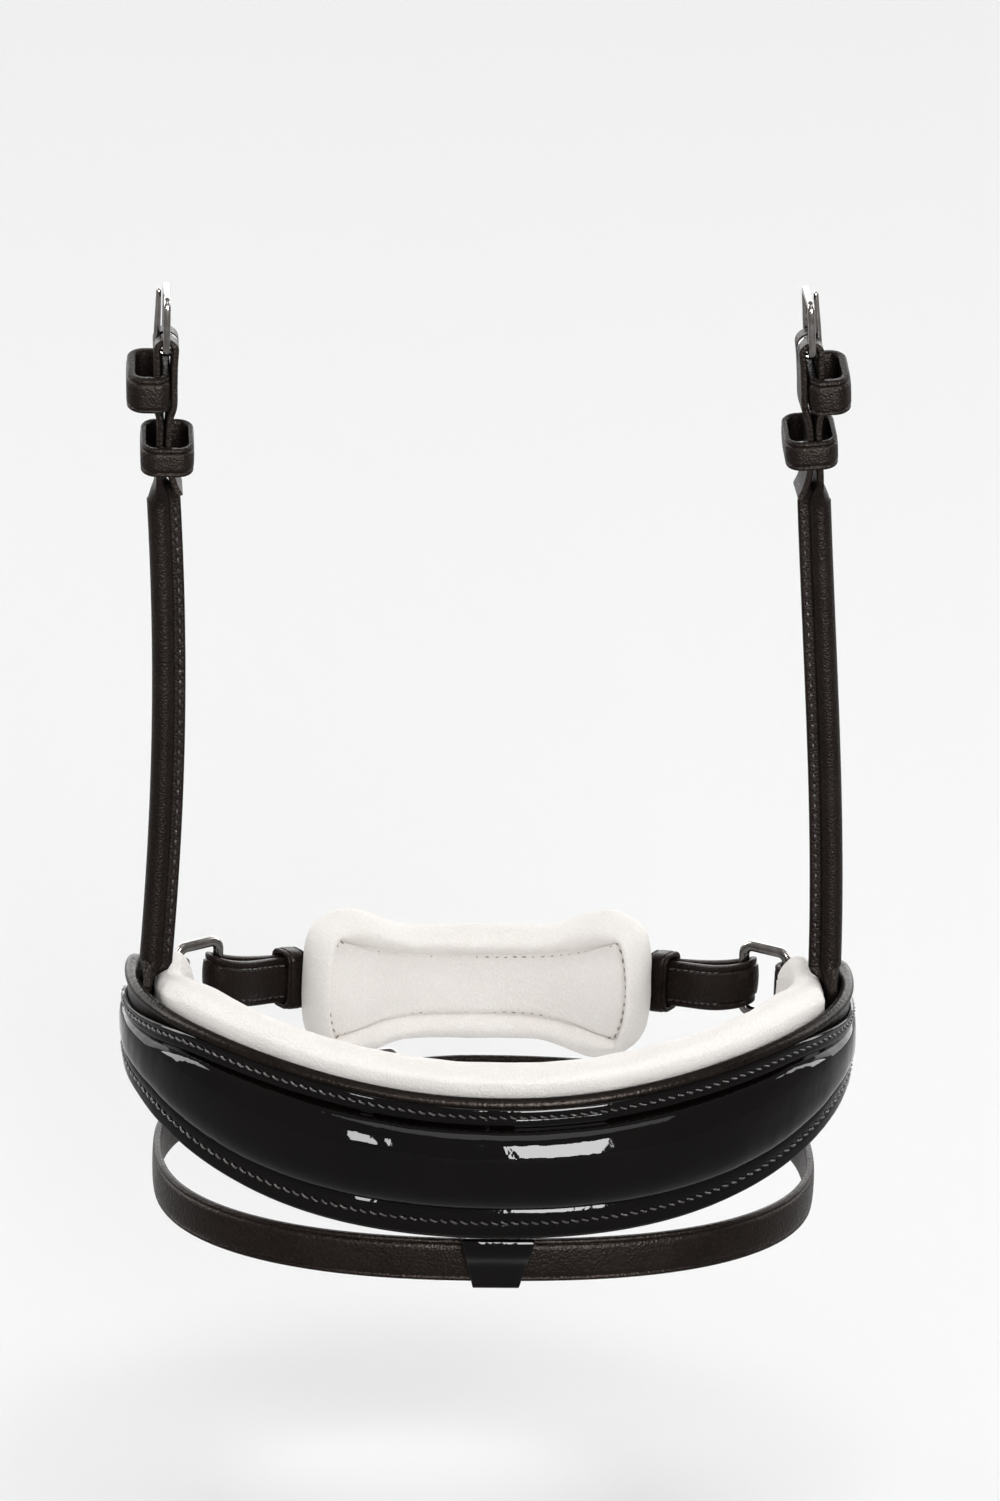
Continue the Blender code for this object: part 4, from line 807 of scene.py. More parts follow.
def leather_material(name, dark, pale, rough, grain=1150.0, depth=0.00016):
    s = Surface(name, "black_leather", Specular_IOR_Level=0.05, Specular_Tint=(1.0, 0.86, 0.78, 1.0))
    pores = s.cells(grain)
    broad = s.noise(70.0, 6.0, 0.6)
    fine = s.noise(grain * 0.7, 4.0, 0.65)
    tone = s.math("ADD", s.math("MULTIPLY", pores, 0.55), s.math("MULTIPLY", broad, 0.6))
    s.join(s.ramp(tone, [(0.25, dark), (0.75, pale)]), "Base Color")
    wear = s.math("ADD", fine, s.math("MULTIPLY", broad, 0.6))
    s.join(s.span(wear, rough - 0.10, rough + 0.12, 0.5, 1.1), "Roughness")
    crinkle = s.bump(s.noise(160.0, 5.0, 0.6, 0.3), 0.00025, 0.4)
    s.join(s.bump(s.math("ADD", pores, s.math("MULTIPLY", fine, 0.7)), depth, 0.9, crinkle), "Normal")
    return s.material


def white_material():
    s = Surface("white_leather", "white_leather", Specular_IOR_Level=0.06)
    shades = [(0.28, (0.785, 0.748, 0.712)), (0.72, (0.86, 0.830, 0.798))]
    pores = s.cells(1300.0)
    broad = s.math("ADD", s.math("MULTIPLY", s.noise(28.0, 5.0, 0.6), 0.7), s.math("MULTIPLY", pores, 0.3))
    s.join(s.ramp(broad, shades), "Base Color")
    s.join(s.span(s.noise(500.0, 4.0), 0.42, 0.60, 0.3, 0.7), "Roughness")
    folds = s.bump(s.noise(120.0, 4.0, 0.62, 0.8), 0.0007, 0.35)
    s.join(s.bump(s.math("ADD", pores, s.noise(1700.0, 3.0)), 0.00020, 0.9, folds), "Normal")
    return s.material


def steel_material():
    s = Surface("polished_steel", "steel", Metallic=1.0)
    smudge = s.noise(260.0, 5.0, 0.6)
    shades = [(0.3, (0.075, 0.069, 0.065)), (0.7, (0.155, 0.147, 0.141))]
    s.join(s.ramp(smudge, shades), "Base Color")
    s.join(s.span(smudge, 0.10, 0.22, 0.3, 0.7), "Roughness")
    s.join(s.bump(s.noise(1500.0, 3.0), 0.00002, 0.5), "Normal")
    return s.material


def thread_material(name, slot, dark, pale, rough):
    s = Surface(name, slot, Specular_IOR_Level=0.4)
    twist = s.node("ShaderNodeTexWave", Vector=s.where, Scale=1400.0, Distortion=3.0).outputs["Fac"]
    s.join(s.ramp(twist, [(0.2, dark), (0.8, pale)]), "Base Color")
    s.join(s.span(s.noise(900.0), rough - 0.08, rough + 0.1), "Roughness")
    s.join(s.bump(twist, 0.00008, 0.8), "Normal")
    return s.material


PATENT = patent_material()
LEATHER = leather_material(
    "bridle_leather", (0.0030, 0.0020, 0.0017), (0.0125, 0.0088, 0.0074), 0.36)
ROLLED = leather_material(
    "rolled_leather", (0.0032, 0.0022, 0.0019), (0.0120, 0.0086, 0.0074), 0.38, 1400.0)
EDGE = leather_material(
    "edge_leather", (0.0024, 0.0017, 0.0014), (0.0080, 0.0058, 0.0050), 0.30, 900.0, 0.00010)
WHITE = white_material()
STEEL = steel_material()
THREAD = thread_material("waxed_thread", "black_leather", (0.008, 0.0065, 0.006), (0.050, 0.043, 0.039), 0.28)
# Pale thread for the white pad, darkened to a grey beige: its own pale colour plus painted shade of the
# stitch holes
PALE_THREAD_PAINTED_SHADE = thread_material("white_thread_painted_shade", "white_leather", (0.20, 0.17, 0.15), (0.45, 0.41, 0.38), 0.5)


# Camera, light and floor
TARGET = Vector((0.0, 0.0, 98.0 * MM)) - ORIGIN
VIEW_DISTANCE = 2.4
VIEW_SIDE, VIEW_HEIGHT, VIEW_ROLL = math.radians(-4.0), math.radians(20.5), math.radians(2.0)
LENS, SHIFT = 185.7, 0.00166

WORLD_LIGHT = 0.50
BACKGROUND = 0.92
LAMP_AIM = Vector((0.0, 0.0, 20.0 * MM))
# The sun: turn, climb, strength and width in degrees
SUN = (14.0, 70.0, 1.15, 30.0)
# Area lamps: turn and climb in degrees, distance, width, height and power
PLAIN_LAMPS = {
    "key": (8.0, 20.0, 4.0, 0.9, 1.2, 46.0),
    "left_fill": (-95.0, 26.0, 3.0, 0.5, 1.2, 10.0),
    "right_fill": (100.0, 24.0, 3.0, 0.5, 1.2, 10.0),
}
# Lamps that show in glossy surfaces alone, and add no light to the others
MIRRORED_LAMPS = {
    "streak": (13.0, 17.0, 4.0, 1.15, 2.4, 760.0),
    "patch": (-20.6, 16.0, 4.0, 0.40, 1.3, 120.0),
    "left_window": (-104.0, 32.0, 3.0, 0.9, 2.4, 195.0),
    "right_window": (106.0, 30.0, 3.0, 0.6, 2.4, 117.0),
    "left_wall": (-148.0, 18.0, 3.5, 4.0, 2.3, 150.0),
    "right_wall": (150.0, 18.0, 3.5, 4.0, 2.3, 150.0),
}

FLOOR_REACH = 14.0
FLOOR_COLOUR = (0.93, 0.93, 0.93, 1.0)
# The floor lies below the part by so much that the flash strap clears it at its lowest swing
FLOOR_DROP = 125.0 * MM


def direction(turn, climb):
    """Towards the viewer: turned from the front and climbing, in radians."""
    return Vector((math.sin(turn) * math.cos(climb), -math.cos(turn) * math.cos(climb), math.sin(climb)))


def show(name, data):
    thing = bpy.data.objects.new(name, data)
    bpy.context.scene.collection.objects.link(thing)
    return thing


def add_camera():
    back = direction(VIEW_SIDE, VIEW_HEIGHT)
    data = bpy.data.cameras.new("camera")
    data.lens = LENS
    data.shift_x = SHIFT
    camera = show("camera", data)
    camera.location = TARGET + back * VIEW_DISTANCE
    turn = (-back).to_track_quat("-Z", "Y").to_matrix() @ Matrix.Rotation(VIEW_ROLL, 3, "Z")
    camera.rotation_euler = turn.to_euler()
    bpy.context.scene.camera = camera


def add_lamp(name, turn, climb, distance, width, height, power, mirrored):
    way = direction(math.radians(turn), math.radians(climb))
    data = bpy.data.lights.new(name, "AREA")
    data.shape = "RECTANGLE"
    data.size = width
    data.size_y = height
    data.energy = power
    lamp = show(name, data)
    lamp.location = LAMP_AIM + way * distance
    lamp.rotation_euler = (-way).to_track_quat("-Z", "Y").to_euler()
    lamp.visible_diffuse = not mirrored
    lamp.visible_glossy = mirrored


def add_sun(turn, climb, strength, width):
    """Even light over the whole floor."""
    data = bpy.data.lights.new("overhead", "SUN")
    data.energy = strength
    data.angle = math.radians(width)
    show("overhead", data).rotation_euler = (math.radians(90.0 - climb), 0.0, math.radians(turn))


def add_world():
    """A dim world whose pale background only the camera, glossy and transmission rays see."""
    world = bpy.data.worlds.new("studio")
    world.use_nodes = True
    tree = world.node_tree
    background = tree.nodes["Background"]
    background.inputs["Color"].default_value = (1.0, 1.0, 1.0, 1.0)
    path = tree.nodes.new("ShaderNodeLightPath")
    seen = path.outputs["Is Camera Ray"]
    for kind in ("Is Glossy Ray", "Is Transmission Ray"):
        either = tree.nodes.new("ShaderNodeMath")
        either.operation = "MAXIMUM"
        tree.links.new(seen, either.inputs[0])
        tree.links.new(path.outputs[kind], either.inputs[1])
        seen = either.outputs["Value"]
    level = tree.nodes.new("ShaderNodeMapRange")
    level.inputs["To Min"].default_value = WORLD_LIGHT
    level.inputs["To Max"].default_value = BACKGROUND
    tree.links.new(seen, level.inputs["Value"])
    tree.links.new(level.outputs["Result"], background.inputs["Strength"])
    bpy.context.scene.world = world


def add_floor():
    height = CAD_BOX[0][2] - FLOOR_DROP
    corners = [(x * FLOOR_REACH, y * FLOOR_REACH, height) for x, y in ((-1, -1), (1, -1), (1, 1), (-1, 1))]
    mesh = bpy.data.meshes.new("floor")
    mesh.from_pydata(corners, [], [(0, 1, 2, 3)])
    paint = bpy.data.materials.new("floor_paint")
    paint.use_nodes = True
    shader = paint.node_tree.nodes["Principled BSDF"]
    shader.inputs["Base Color"].default_value = FLOOR_COLOUR
    shader.inputs["Roughness"].default_value = 0.9
    shader.inputs["Specular IOR Level"].default_value = 0.0
    mesh.materials.append(paint)
    show("floor", mesh)


def add_surroundings():
    bpy.context.scene.view_settings.view_transform = "Standard"
    add_world()
    add_floor()
    add_sun(*SUN)
    for lamps, mirrored in ((PLAIN_LAMPS, False), (MIRRORED_LAMPS, True)):
        for name, values in lamps.items():
            add_lamp(name, *values, mirrored)


# Noseband
BAND_STEPS = 150
RIM_RADIUS = 2.0 * MM
RIM_FOOT = 3.9 * MM
BACKING_EDGE = 0.9 * MM
PATENT_SHARES = [0.5 - 0.5 * math.cos(math.pi * share) for share in spread(0.0, 1.0, 31)]
PATENT_LIP = 0.5 * MM
PATENT_TUCK = 0.15 * MM
GROOVE_DEPTH, GROOVE_WIDTH = 0.45 * MM, 0.8 * MM
SEAM_DEPTH, SEAM_WIDTH = 0.28 * MM, 0.9 * MM
SEAM_SHARES = (0.52, 0.42)


def band_ring(degrees, section):
    return [band_place(degrees, inward, height) for inward, height in section]


def backing_section(degrees):
    """Leather body of the noseband cut across, with a rolled rim along its top."""
    top = band_top(degrees)
    bottom = band_bottom(degrees)
    rim = [polar(RIM_RADIUS, turn) for turn in range(0, 226, 15)]
    foot = [polar(BACKING_EDGE, turn) for turn in (0, 30, 60, 90)]
    low = bottom + BACKING_EDGE
    inner = BACKING_THICKNESS - BACKING_EDGE
    points = [(BACKING_THICKNESS - RIM_RADIUS + c, top - RIM_RADIUS + s) for c, s in rim]
    points += [(0.0, top - RIM_FOOT), (0.0, mix(bottom, top, 0.6)), (0.0, mix(bottom, top, 0.3))]
    points += [(BACKING_EDGE - c, low - s) for c, s in foot] + [(inner + s, low - c) for c, s in foot]
    return points + [(BACKING_THICKNESS, mix(bottom, top, share)) for share in (0.3, 0.6)]


def make_backing():
    angles = spread(-BAND_END_ANGLE, BAND_END_ANGLE, BAND_STEPS)
    rings = [band_ring(angle, backing_section(angle)) for angle in angles]
    build("backing_leather", rings, EDGE, "noseband", ["nose_backing"])


def hollow(height, lines, depth, width):
    """Depth of the hollows along lines at given heights."""
    return depth * sum(math.exp(-((height - line) / width) ** 2) for line in lines)


def patent_seams(degrees):
    """Heights of the two stitch lines."""
    bottom, top = patent_edges(degrees)
    low, high = dome_bounds(degrees)
    return mix(bottom, low, SEAM_SHARES[0]), mix(top, high, SEAM_SHARES[1])


def patent_face(degrees, height):
    """How far the patent's outer face stands out of the band's own, at a height."""
    low, high = dome_bounds(degrees)
    share = (height - low) / (high - low)
    lift = dome_height(degrees) * dome_shape(share) if 0.0 < share < 1.0 else 0.0
    groove = hollow(height, (low, high), GROOVE_DEPTH, GROOVE_WIDTH)
    seam = hollow(height, patent_seams(degrees), SEAM_DEPTH, SEAM_WIDTH)
    place = Vector((degrees / 7.0, height / (14.0 * MM), 0.3))
    wave = 0.16 * MM * noise.noise(place) + 0.05 * MM * noise.noise(place * 3.1)
    return GAP + PATENT_THICKNESS + lift - groove - seam + wave


def make_patent():
    rings = []
    edge = -GAP - 0.6 * PATENT_THICKNESS
    for angle in spread(-PATENT_END_ANGLE, PATENT_END_ANGLE, 2 * BAND_STEPS):
        bottom, top = patent_edges(angle)
        low, high = dome_bounds(angle)
        heights = spread(bottom + PATENT_LIP, low, 16)[:-1]
        heights += [mix(low, high, share) for share in PATENT_SHARES]
        heights += spread(high, top - PATENT_LIP, 13)[1:]
        section = [(-GAP, bottom + PATENT_TUCK), (edge, bottom)]
        section += [(-patent_face(angle, height), height) for height in heights]
        section += [(edge, top), (-GAP, top - PATENT_TUCK)]
        rings.append(band_ring(angle, section))
    build("patent_front", rings, PATENT, "noseband", ["nose_patent", "nose_filler"])
    for number, name in enumerate(("lower", "upper")):
        places = []
        for angle in spread(-PATENT_END_ANGLE + 2.0, PATENT_END_ANGLE - 2.0, 200):
            height = patent_seams(angle)[number]
            place = band_place(angle, -patent_face(angle, height), height)
            outward = (band_place(angle, -1.0, height) - band_place(angle, 0.0, height)).normalized()
            places.append((place, outward))
        stitches(f"patent_stitches_{name}", places, THREAD, "noseband", slant=math.radians(-22.0),
                 length=2.9 * MM, pitch=3.1 * MM, radius=0.42 * MM)


CLOTH_FRAMES = 20
CLOTH_PRESSURE = 4.0


def swell(thing, held, cap):
    """Blow a pad up as cloth that is held along its seams; cap is the furthest that a point may move."""
    before = [vertex.co.copy() for vertex in thing.data.vertices]
    thing.vertex_groups.new(name="held").add(held, 1.0, "REPLACE")
    cloth = thing.modifiers.new("cloth", "CLOTH")
    cloth.settings.use_pressure = True
    cloth.settings.uniform_pressure_force = CLOTH_PRESSURE
    cloth.settings.vertex_group_mass = "held"
    cloth.settings.effector_weights.gravity = 0.0
    for number in range(1, CLOTH_FRAMES + 1):
        bpy.context.scene.frame_set(number)
    evaluated = thing.evaluated_get(bpy.context.evaluated_depsgraph_get())
    after = [vertex.co.copy() for vertex in evaluated.data.vertices]
    thing.modifiers.clear()
    thing.vertex_groups.clear()
    bpy.context.scene.frame_set(1)
    for vertex, start, end in zip(thing.data.vertices, before, after):
        move = end - start
        vertex.co = start + move * min(1.0, cap / max(move.length, 1e-9))


def subdivide(thing):
    surface = thing.modifiers.new("smooth", "SUBSURF")
    surface.levels = 1
    surface.render_levels = 1
    apply_modifiers(thing)


PAD_STATIONS = 120
PAD_END_RUN = 8.0
PAD_END_SHRINK = 0.32
PAD_PLEAT = 0.35 * MM
PAD_BACK_POINTS = 7
PAD_BACK_INSET = 0.6 * MM
PAD_BACK_GAP = 0.1 * MM


def make_nose_pad():
    rings, held = [], []
    for number, angle in enumerate(spread(-PAD_END_ANGLE, PAD_END_ANGLE, PAD_STATIONS)):
        outline = spline(pad_profile(angle), 3)
        middle = (pad_offset(angle) + 0.35 * pad_thickness(angle), (pad_top(angle) + pad_bottom(angle)) / 2.0)
        near_end = max(0.0, 1.0 - (PAD_END_ANGLE - abs(angle)) / PAD_END_RUN)
        shrink = 1.0 - PAD_END_SHRINK * near_end ** 2.2
        pleat = PAD_PLEAT * near_end ** 1.5
        points = []
        for index, place in enumerate(outline):
            inward, height = between(middle, place, shrink)
            points.append((inward + pleat * math.sin(index * 2.1 + number), height))
        back = spread(outline[-1][1] + PAD_BACK_INSET, outline[0][1] - PAD_BACK_INSET, PAD_BACK_POINTS)
        points += [(pad_offset(angle) + PAD_BACK_GAP, mix(middle[1], height, shrink)) for height in back]
        rings.append(band_ring(angle, points))
        held += [number * len(points) + index for index in (0, 1, *range(len(outline) - 2, len(points)))]
    count = len(rings[0])
    last = (len(rings) - 1) * count
    held += [*range(count), *range(last, last + count)]
    pad = build("nose_pad", rings, WHITE, "noseband", ["nose_pad_cover", "nose_pad_foam"])
    swell(pad, sorted(set(held)), 1.2 * MM)
    pucker(pad, 0.35 * MM)
    subdivide(pad)


def pucker(thing, depth):
    """Small folds all over a leather cover, a little deeper here and there."""
    mesh = thing.data
    normals = [vertex.normal.copy() for vertex in mesh.vertices]
    for vertex, normal in zip(mesh.vertices, normals):
        place = vertex.co * 130.0
        fold = noise.fractal(Vector((place.x, place.y * 0.8, place.z * 1.7)), 0.9, 2.1, 4)
        vertex.co += normal * depth * fold


# Tabs and crank rings
TAB_SEAM_INSET = 2.3 * MM


def make_tab(label, side):
    front, _ = ring_bars(side)
    outer = -GAP - TAB_THICKNESS / 2.0
    inner = BACKING_THICKNESS + GAP + TAB_SLACK + TAB_THICKNESS / 2.0
    end, before = (band_place(angle * side, BACKING_THICKNESS / 2.0, TAB_HEIGHT)
                   for angle in (BAND_END_ANGLE, BAND_END_ANGLE - 1.0))
    reach = TAB_LENGTH / (end - before).length
    axis = (front - end).normalized()
    across = (band_place(BAND_END_ANGLE * side, outer, TAB_HEIGHT) - end).normalized()
    radius = (inner - outer) / 2.0

    def leaf(angle, depth):
        place = band_place(angle * side, depth, TAB_HEIGHT)
        return place, (band_place(angle * side, depth - MM, TAB_HEIGHT) - place).normalized()

    angles = spread(BAND_END_ANGLE - reach, BAND_END_ANGLE, 10)
    path = [leaf(angle, outer) for angle in angles]
    for turn in range(0, 181, 9):
        c, s = polar(1.0, turn)
        outward = across * c + axis * s
        path.append((front + outward * radius, outward))
    path += [(place, -outward) for place, outward in (leaf(angle, inner) for angle in angles[::-1])]
    section = strap_section(TAB_THICKNESS, TAB_WIDTH, crown=0.1 * MM, crease=1.7 * MM)
    rings = [[centre + outward * lift + UP * wide for lift, wide in section] for centre, outward in path]
    build(f"tab_{label}", rings, LEATHER, "noseband", [f"nose_tab_{label}"])
    for name, sign in (("low", -1), ("high", 1)):
        wide = UP * sign * (TAB_WIDTH / 2.0 - TAB_SEAM_INSET)
        row = [(place + outward * TAB_THICKNESS / 2.0 + wide, outward) for place, outward in path[:9]]
        stitches(f"tab_stitches_{label}_{name}", row, THREAD, "noseband", pitch=3.0 * MM, length=2.1 * MM)


def make_ring(label, side):
    route = Route(ring_bars(side), UP, side)
    half_length = (RING_LENGTH - RING_BAR) / 2.0
    half_height = (RING_INNER_HEIGHT + RING_BAR) / 2.0
    outline = rounded_rectangle(half_length, half_height, (RING_CORNER, RING_CORNER))

    def place(u, v, sideways):
        return route.place(half_length + u, sideways, v)

    rings = hoop_rings(outline, bar_section(RING_BAR, RING_THICKNESS), place)
    build(f"ring_steel_{label}", rings, STEEL, f"ring_{label}", [f"crank_ring_{label}"], closed=True)


# Buckles and keepers
HEEL_RADIUS = 0.9 * math.hypot(BUCKLE_BAR / 2.0, BUCKLE_THICKNESS / 2.0)
PRONG_REACH = HEEL_RADIUS + GAP + PRONG_DIAMETER


def make_buckle(label, cad_names, bodies, route, heel, direction, heel_out, far_out, inner_width):
    half_reach = BUCKLE_REACH / 2.0
    half_width = inner_width / 2.0 + RUNNING_GAP + BUCKLE_BAR / 2.0
    tilt = (far_out - heel_out) / BUCKLE_REACH
    outline = rounded_rectangle(half_reach, half_width, (BUCKLE_CORNER, BUCKLE_CORNER))

    def place(u, v, sideways):
        reach = half_reach + u
        return route.place(heel + direction * reach, heel_out + reach * tilt + sideways, v)

    rings = hoop_rings(outline, bar_section(BUCKLE_BAR, BUCKLE_THICKNESS), place)
    build(f"{label}_frame", rings, STEEL, bodies[0], [cad_names[0]], closed=True)
    radius = PRONG_REACH - PRONG_DIAMETER / 2.0
    rest = far_out + BUCKLE_THICKNESS / 2.0 + GAP + PRONG_DIAMETER / 2.0
    path = arc(heel, heel_out, radius, -PRONG_WRAP_ANGLE * direction, 0.0, 24)
    path += [(heel + direction * along * BUCKLE_REACH, mix(heel_out + radius, rest, rise))
             for along, rise in ((0.35, 0.35), (0.75, 0.8))]
    path.append((heel + direction * (BUCKLE_REACH + PRONG_OVERHANG), rest))
    points = [route.place(s, out) for s, out in path[:-4] + spline(path[-4:], 6)]
    count = len(points)
    radii = [PRONG_DIAMETER / 2.0 * (1.0 - 0.25 * max(0.0, (i - count + 12) / 11.0)) for i in range(count)]
    tip = (points[-1] - points[-2]).normalized()
    points += [points[-1] + tip * 0.35 * MM, points[-1] + tip * 0.55 * MM]
    radii += [0.8 * radii[-1], 0.35 * radii[-1]]
    build(f"{label}_prong", wire_rings(points, radii), STEEL, bodies[1], [cad_names[1]])


def make_keeper(label, cad_name, body, route, s, width, out_low, out_high, strap_width, material=None,
                corners=(KEEPER_CORNER, KEEPER_CORNER), tilt=0.0, plump=1.0):
    half_out = (out_high - out_low) / 2.0 + RUNNING_GAP + KEEPER_THICKNESS / 2.0
    half_wide = strap_width / 2.0 + RUNNING_GAP + KEEPER_THICKNESS / 2.0
    middle = (out_high + out_low) / 2.0
    outline = rounded_rectangle(half_out, half_wide, [min(corner, 0.8 * half_out) for corner in corners])
    slope = math.tan(math.radians(tilt))

    def place(u, v, sideways):
        return route.place(s + sideways + slope * v, middle + u, v)

    section = [(lift * plump, wide) for lift, wide in keeper_section(width)]
    rings = hoop_rings(outline, section, place)
    build(label, rings, material or LEATHER, body, [cad_name], closed=True)


# Chin piece
CHIN_STEPS = 128
CHIN_QUARTER = CHIN_STEPS // 4


def pad_outline(angle):
    """The chin pad's outline: a squared oval that flares from its waist to its ends."""
    cosine = math.cos(angle)
    sine = math.sin(angle)
    s = CHIN_PAD_HALF_LENGTH * signed_power(cosine, CHIN_PAD_SQUARENESS)
    flare = CHIN_PAD_FLARE if sine > 0.0 else CHIN_PAD_LOWER_FLARE
    half_height = CHIN_PAD_WAIST + flare * blend(s, CHIN_PAD_FLARE_SPAN)
    return s, half_height * signed_power(sine, CHIN_PAD_SQUARENESS), half_height


def chin_place(angle, inset, share, height):
    """A point in from the pad's outline, by an inset and by a share of the way to its middle."""
    s, wide, half_height = pad_outline(angle)
    s *= (1.0 - inset / CHIN_PAD_HALF_LENGTH) * (1.0 - share)
    wide *= (1.0 - inset / half_height) * (1.0 - share)
    return CHIN.place(s, -height, wide)


def panel_quarter(inset=0.0, count=400):
    """A quarter of the panel's outline: an end that bows out, a sharp corner and a hollow long side."""
    reach, rise = (value - inset for value in CHIN_PANEL_CORNER)
    waist = CHIN_PANEL_WAIST - inset
    end = [(reach + CHIN_PANEL_BOW * (1.0 - (wide / rise) ** 2), wide) for wide in spread(0.0, rise, count)]
    side = [(s, mix(waist, rise, (s / reach) ** CHIN_PANEL_POWER)) for s in spread(reach, 0.0, count)]
    return end + side[1:]


def evenly(points, count):
    """Points spaced evenly along a line of points, half a step in from both of its ends."""
    starts = running(points)
    axes = list(zip(*points))
    goals = even_goals(starts[-1], count)
    return [tuple(float(np.interp(goal, starts, axis)) for axis in axes) for goal in goals]


def panel_outline(count, inset=0.0):
    """The panel's whole outline, from its four quarters."""
    first = evenly(panel_quarter(inset), count // 4)
    half = first + [(-s, wide) for s, wide in first[::-1]]
    return half + [(-s, -wide) for s, wide in half]


def even_angles(count):
    """Angles whose outline points lie evenly along each quarter of the chin pad's outline."""
    fine = [0.5 * math.pi * ease(ease(ease(share))) for share in spread(0.0, 1.0, 2049)]
    starts = running([pad_outline(angle)[:2] for angle in fine])
    first = [float(np.interp(goal, starts, fine)) for goal in even_goals(starts[-1], count // 4)]
    angles = first + [math.pi - a for a in first[::-1]]
    return angles + [math.pi + a for a in angles]


MITRE_DEPTH = 0.55 * MM
# The pad's face. Panel: the share of the way in to its middle and the lift in mm.
# Border: the share of the way out to the rim and the height as a share of the border's crown.
PANEL_ROWS = [(0.97, 0.5), (0.78, 0.6), (0.5, 0.8), (0.25, 0.9), (0.10, 0.6), (0.03, 0.1), (0.0, -0.3)]
BORDER_ROWS = [(0.42, 1.0), (0.66, 0.97), (0.88, 0.78), (1.0, 0.48), (0.96, 0.2), (0.85, 0.0)]
# The cloth holds the rows up to the first of these (the panel) and past the second (the back)
HELD_ROWS = (21, 38)


def mitred(rows, inside, outside):
    """Rings of the chin pad's face, with a crease from each corner of the panel to the rim."""
    corner = max(range(CHIN_QUARTER), key=lambda step: inside[step][0] + 2.0 * inside[step][1])
    rings = []
    for out, share, height in rows:
        on_border = 0.04 < out < 0.96 and height > 0.5 * CHIN_PAD_THICKNESS
        keep = 1.0 - min(max(share, 0.0), 0.97)
        ring = []
        for step, (near, far) in enumerate(zip(inside, outside)):
            quarter, place = divmod(step, CHIN_QUARTER)
            if quarter % 2:
                place = CHIN_QUARTER - 1 - place
            mitre = MITRE_DEPTH * math.exp(-((place - corner) / 0.8) ** 2) if on_border else 0.0
            s, wide = between(near, far, out)
            ring.append(CHIN.place(s * keep, -max(height - mitre, 0.0), wide * keep))
        rings.append(ring)
    return rings


def chin_seam(points):
    """Places of a closed seam, from pairs of a point on it and one further out."""
    places = [(point, (beyond - point).normalized()) for point, beyond in points]
    return places + places[:1]


def make_chin_pad():
    crown = CHIN_PAD_THICKNESS
    panel = CHIN_PANEL_THICKNESS
    front = [(0.0, share, panel + lift * MM) for share, lift in PANEL_ROWS]
    front += [(0.07, 0.0, panel + 0.2 * MM), (0.20, 0.0, mix(panel, crown, 0.62))]
    front += [(out, 0.0, rise * crown) for out, rise in BORDER_ROWS]
    angles = even_angles(CHIN_STEPS)
    rings = mitred(spline(front, 3), panel_outline(CHIN_STEPS), [pad_outline(angle)[:2] for angle in angles])
    rings += [[chin_place(angle, CHIN_BACKING_INSET, share, 0.0) for angle in angles]
              for share in (0.1, 0.3, 0.6, 0.97)]
    pad = build("chin_cushion", rings, WHITE, "chin_piece", ["chin_pad"])
    first, last = HELD_ROWS
    rows = [row for row in range(len(rings)) if row <= first or row > last]
    swell(pad, [row * CHIN_STEPS + step for row in rows for step in range(CHIN_STEPS)], 0.9 * MM)
    pucker(pad, 0.22 * MM)
    subdivide(pad)
    places = chin_seam((CHIN.place(s, -panel, wide), CHIN.place(s, -panel - MM, wide))
                       for s, wide in panel_outline(720, 0.7 * MM))
    # The panel's thread colour carries painted shade of its stitch holes
    stitches("chin_panel_stitches", places, PALE_THREAD_PAINTED_SHADE, "chin_piece", pitch=3.0 * MM, length=1.7 * MM,
             radius=0.30 * MM, uneven=0.5)


def make_chin_backing():
    near, far = -GAP, -GAP - CHIN_BACKING_THICKNESS
    inset = CHIN_BACKING_INSET
    rows = [(inset, share, near) for share in (0.97, 0.6, 0.3, 0.02)]
    rows += [(inset - 0.2 * MM, 0.0, mix(near, far, share)) for share in (0.2, 0.5, 0.8)]
    rows += [(inset, share, far) for share in (0.01, 0.04, 0.3, 0.6, 0.97)]
    angles = even_angles(CHIN_STEPS)
    rings = [[chin_place(angle, *row) for angle in angles] for row in rows]
    build("chin_plate", rings, LEATHER, "chin_piece", ["chin_backing"])
    seam = inset + 2.6 * MM
    places = chin_seam((chin_place(angle, seam, 0.0, far), chin_place(angle, seam, 0.0, far - MM))
                       for angle in even_angles(180))
    stitches("chin_plate_stitches", places, THREAD, "chin_piece")


CHIN_INNER = CHIN_BACKING_THICKNESS + 2.0 * GAP + CHIN_STRAP_THICKNESS / 2.0
CHIN_OUTER = CHIN_INNER + CHIN_STRAP_THICKNESS + RUNNING_GAP
CHIN_FOLD = RING_BAR / 2.0 + RUNNING_GAP + CHIN_STRAP_THICKNESS / 2.0
CHIN_CHAPE_FOLD = BUCKLE_THICKNESS / 2.0 + RUNNING_GAP + CHAPE_THICKNESS / 2.0
CHIN_HEEL_OUT = CHIN_BACKING_THICKNESS + 2.0 * GAP + PRONG_REACH
CHIN_OVER = CHIN_HEEL_OUT + PRONG_REACH + GAP + CHIN_STRAP_THICKNESS / 2.0


def chin_layer(s, base, end):
    return mix(base, end, ease((s - CHIN_SPREAD_START) / (CHIN_REACH - CHIN_SPREAD_START)))


def fold_slot(thing, route, heel, out):
    reach = PRONG_REACH + 2.0 * GAP
    cut_slot(thing, route, heel - reach, heel + reach, out)


def prong_hole(thing, route, heel, direction, out):
    near = heel + direction * PRONG_HOLE_START
    cut_slot(thing, route, near, heel + direction * 0.75 * BUCKLE_REACH, out)


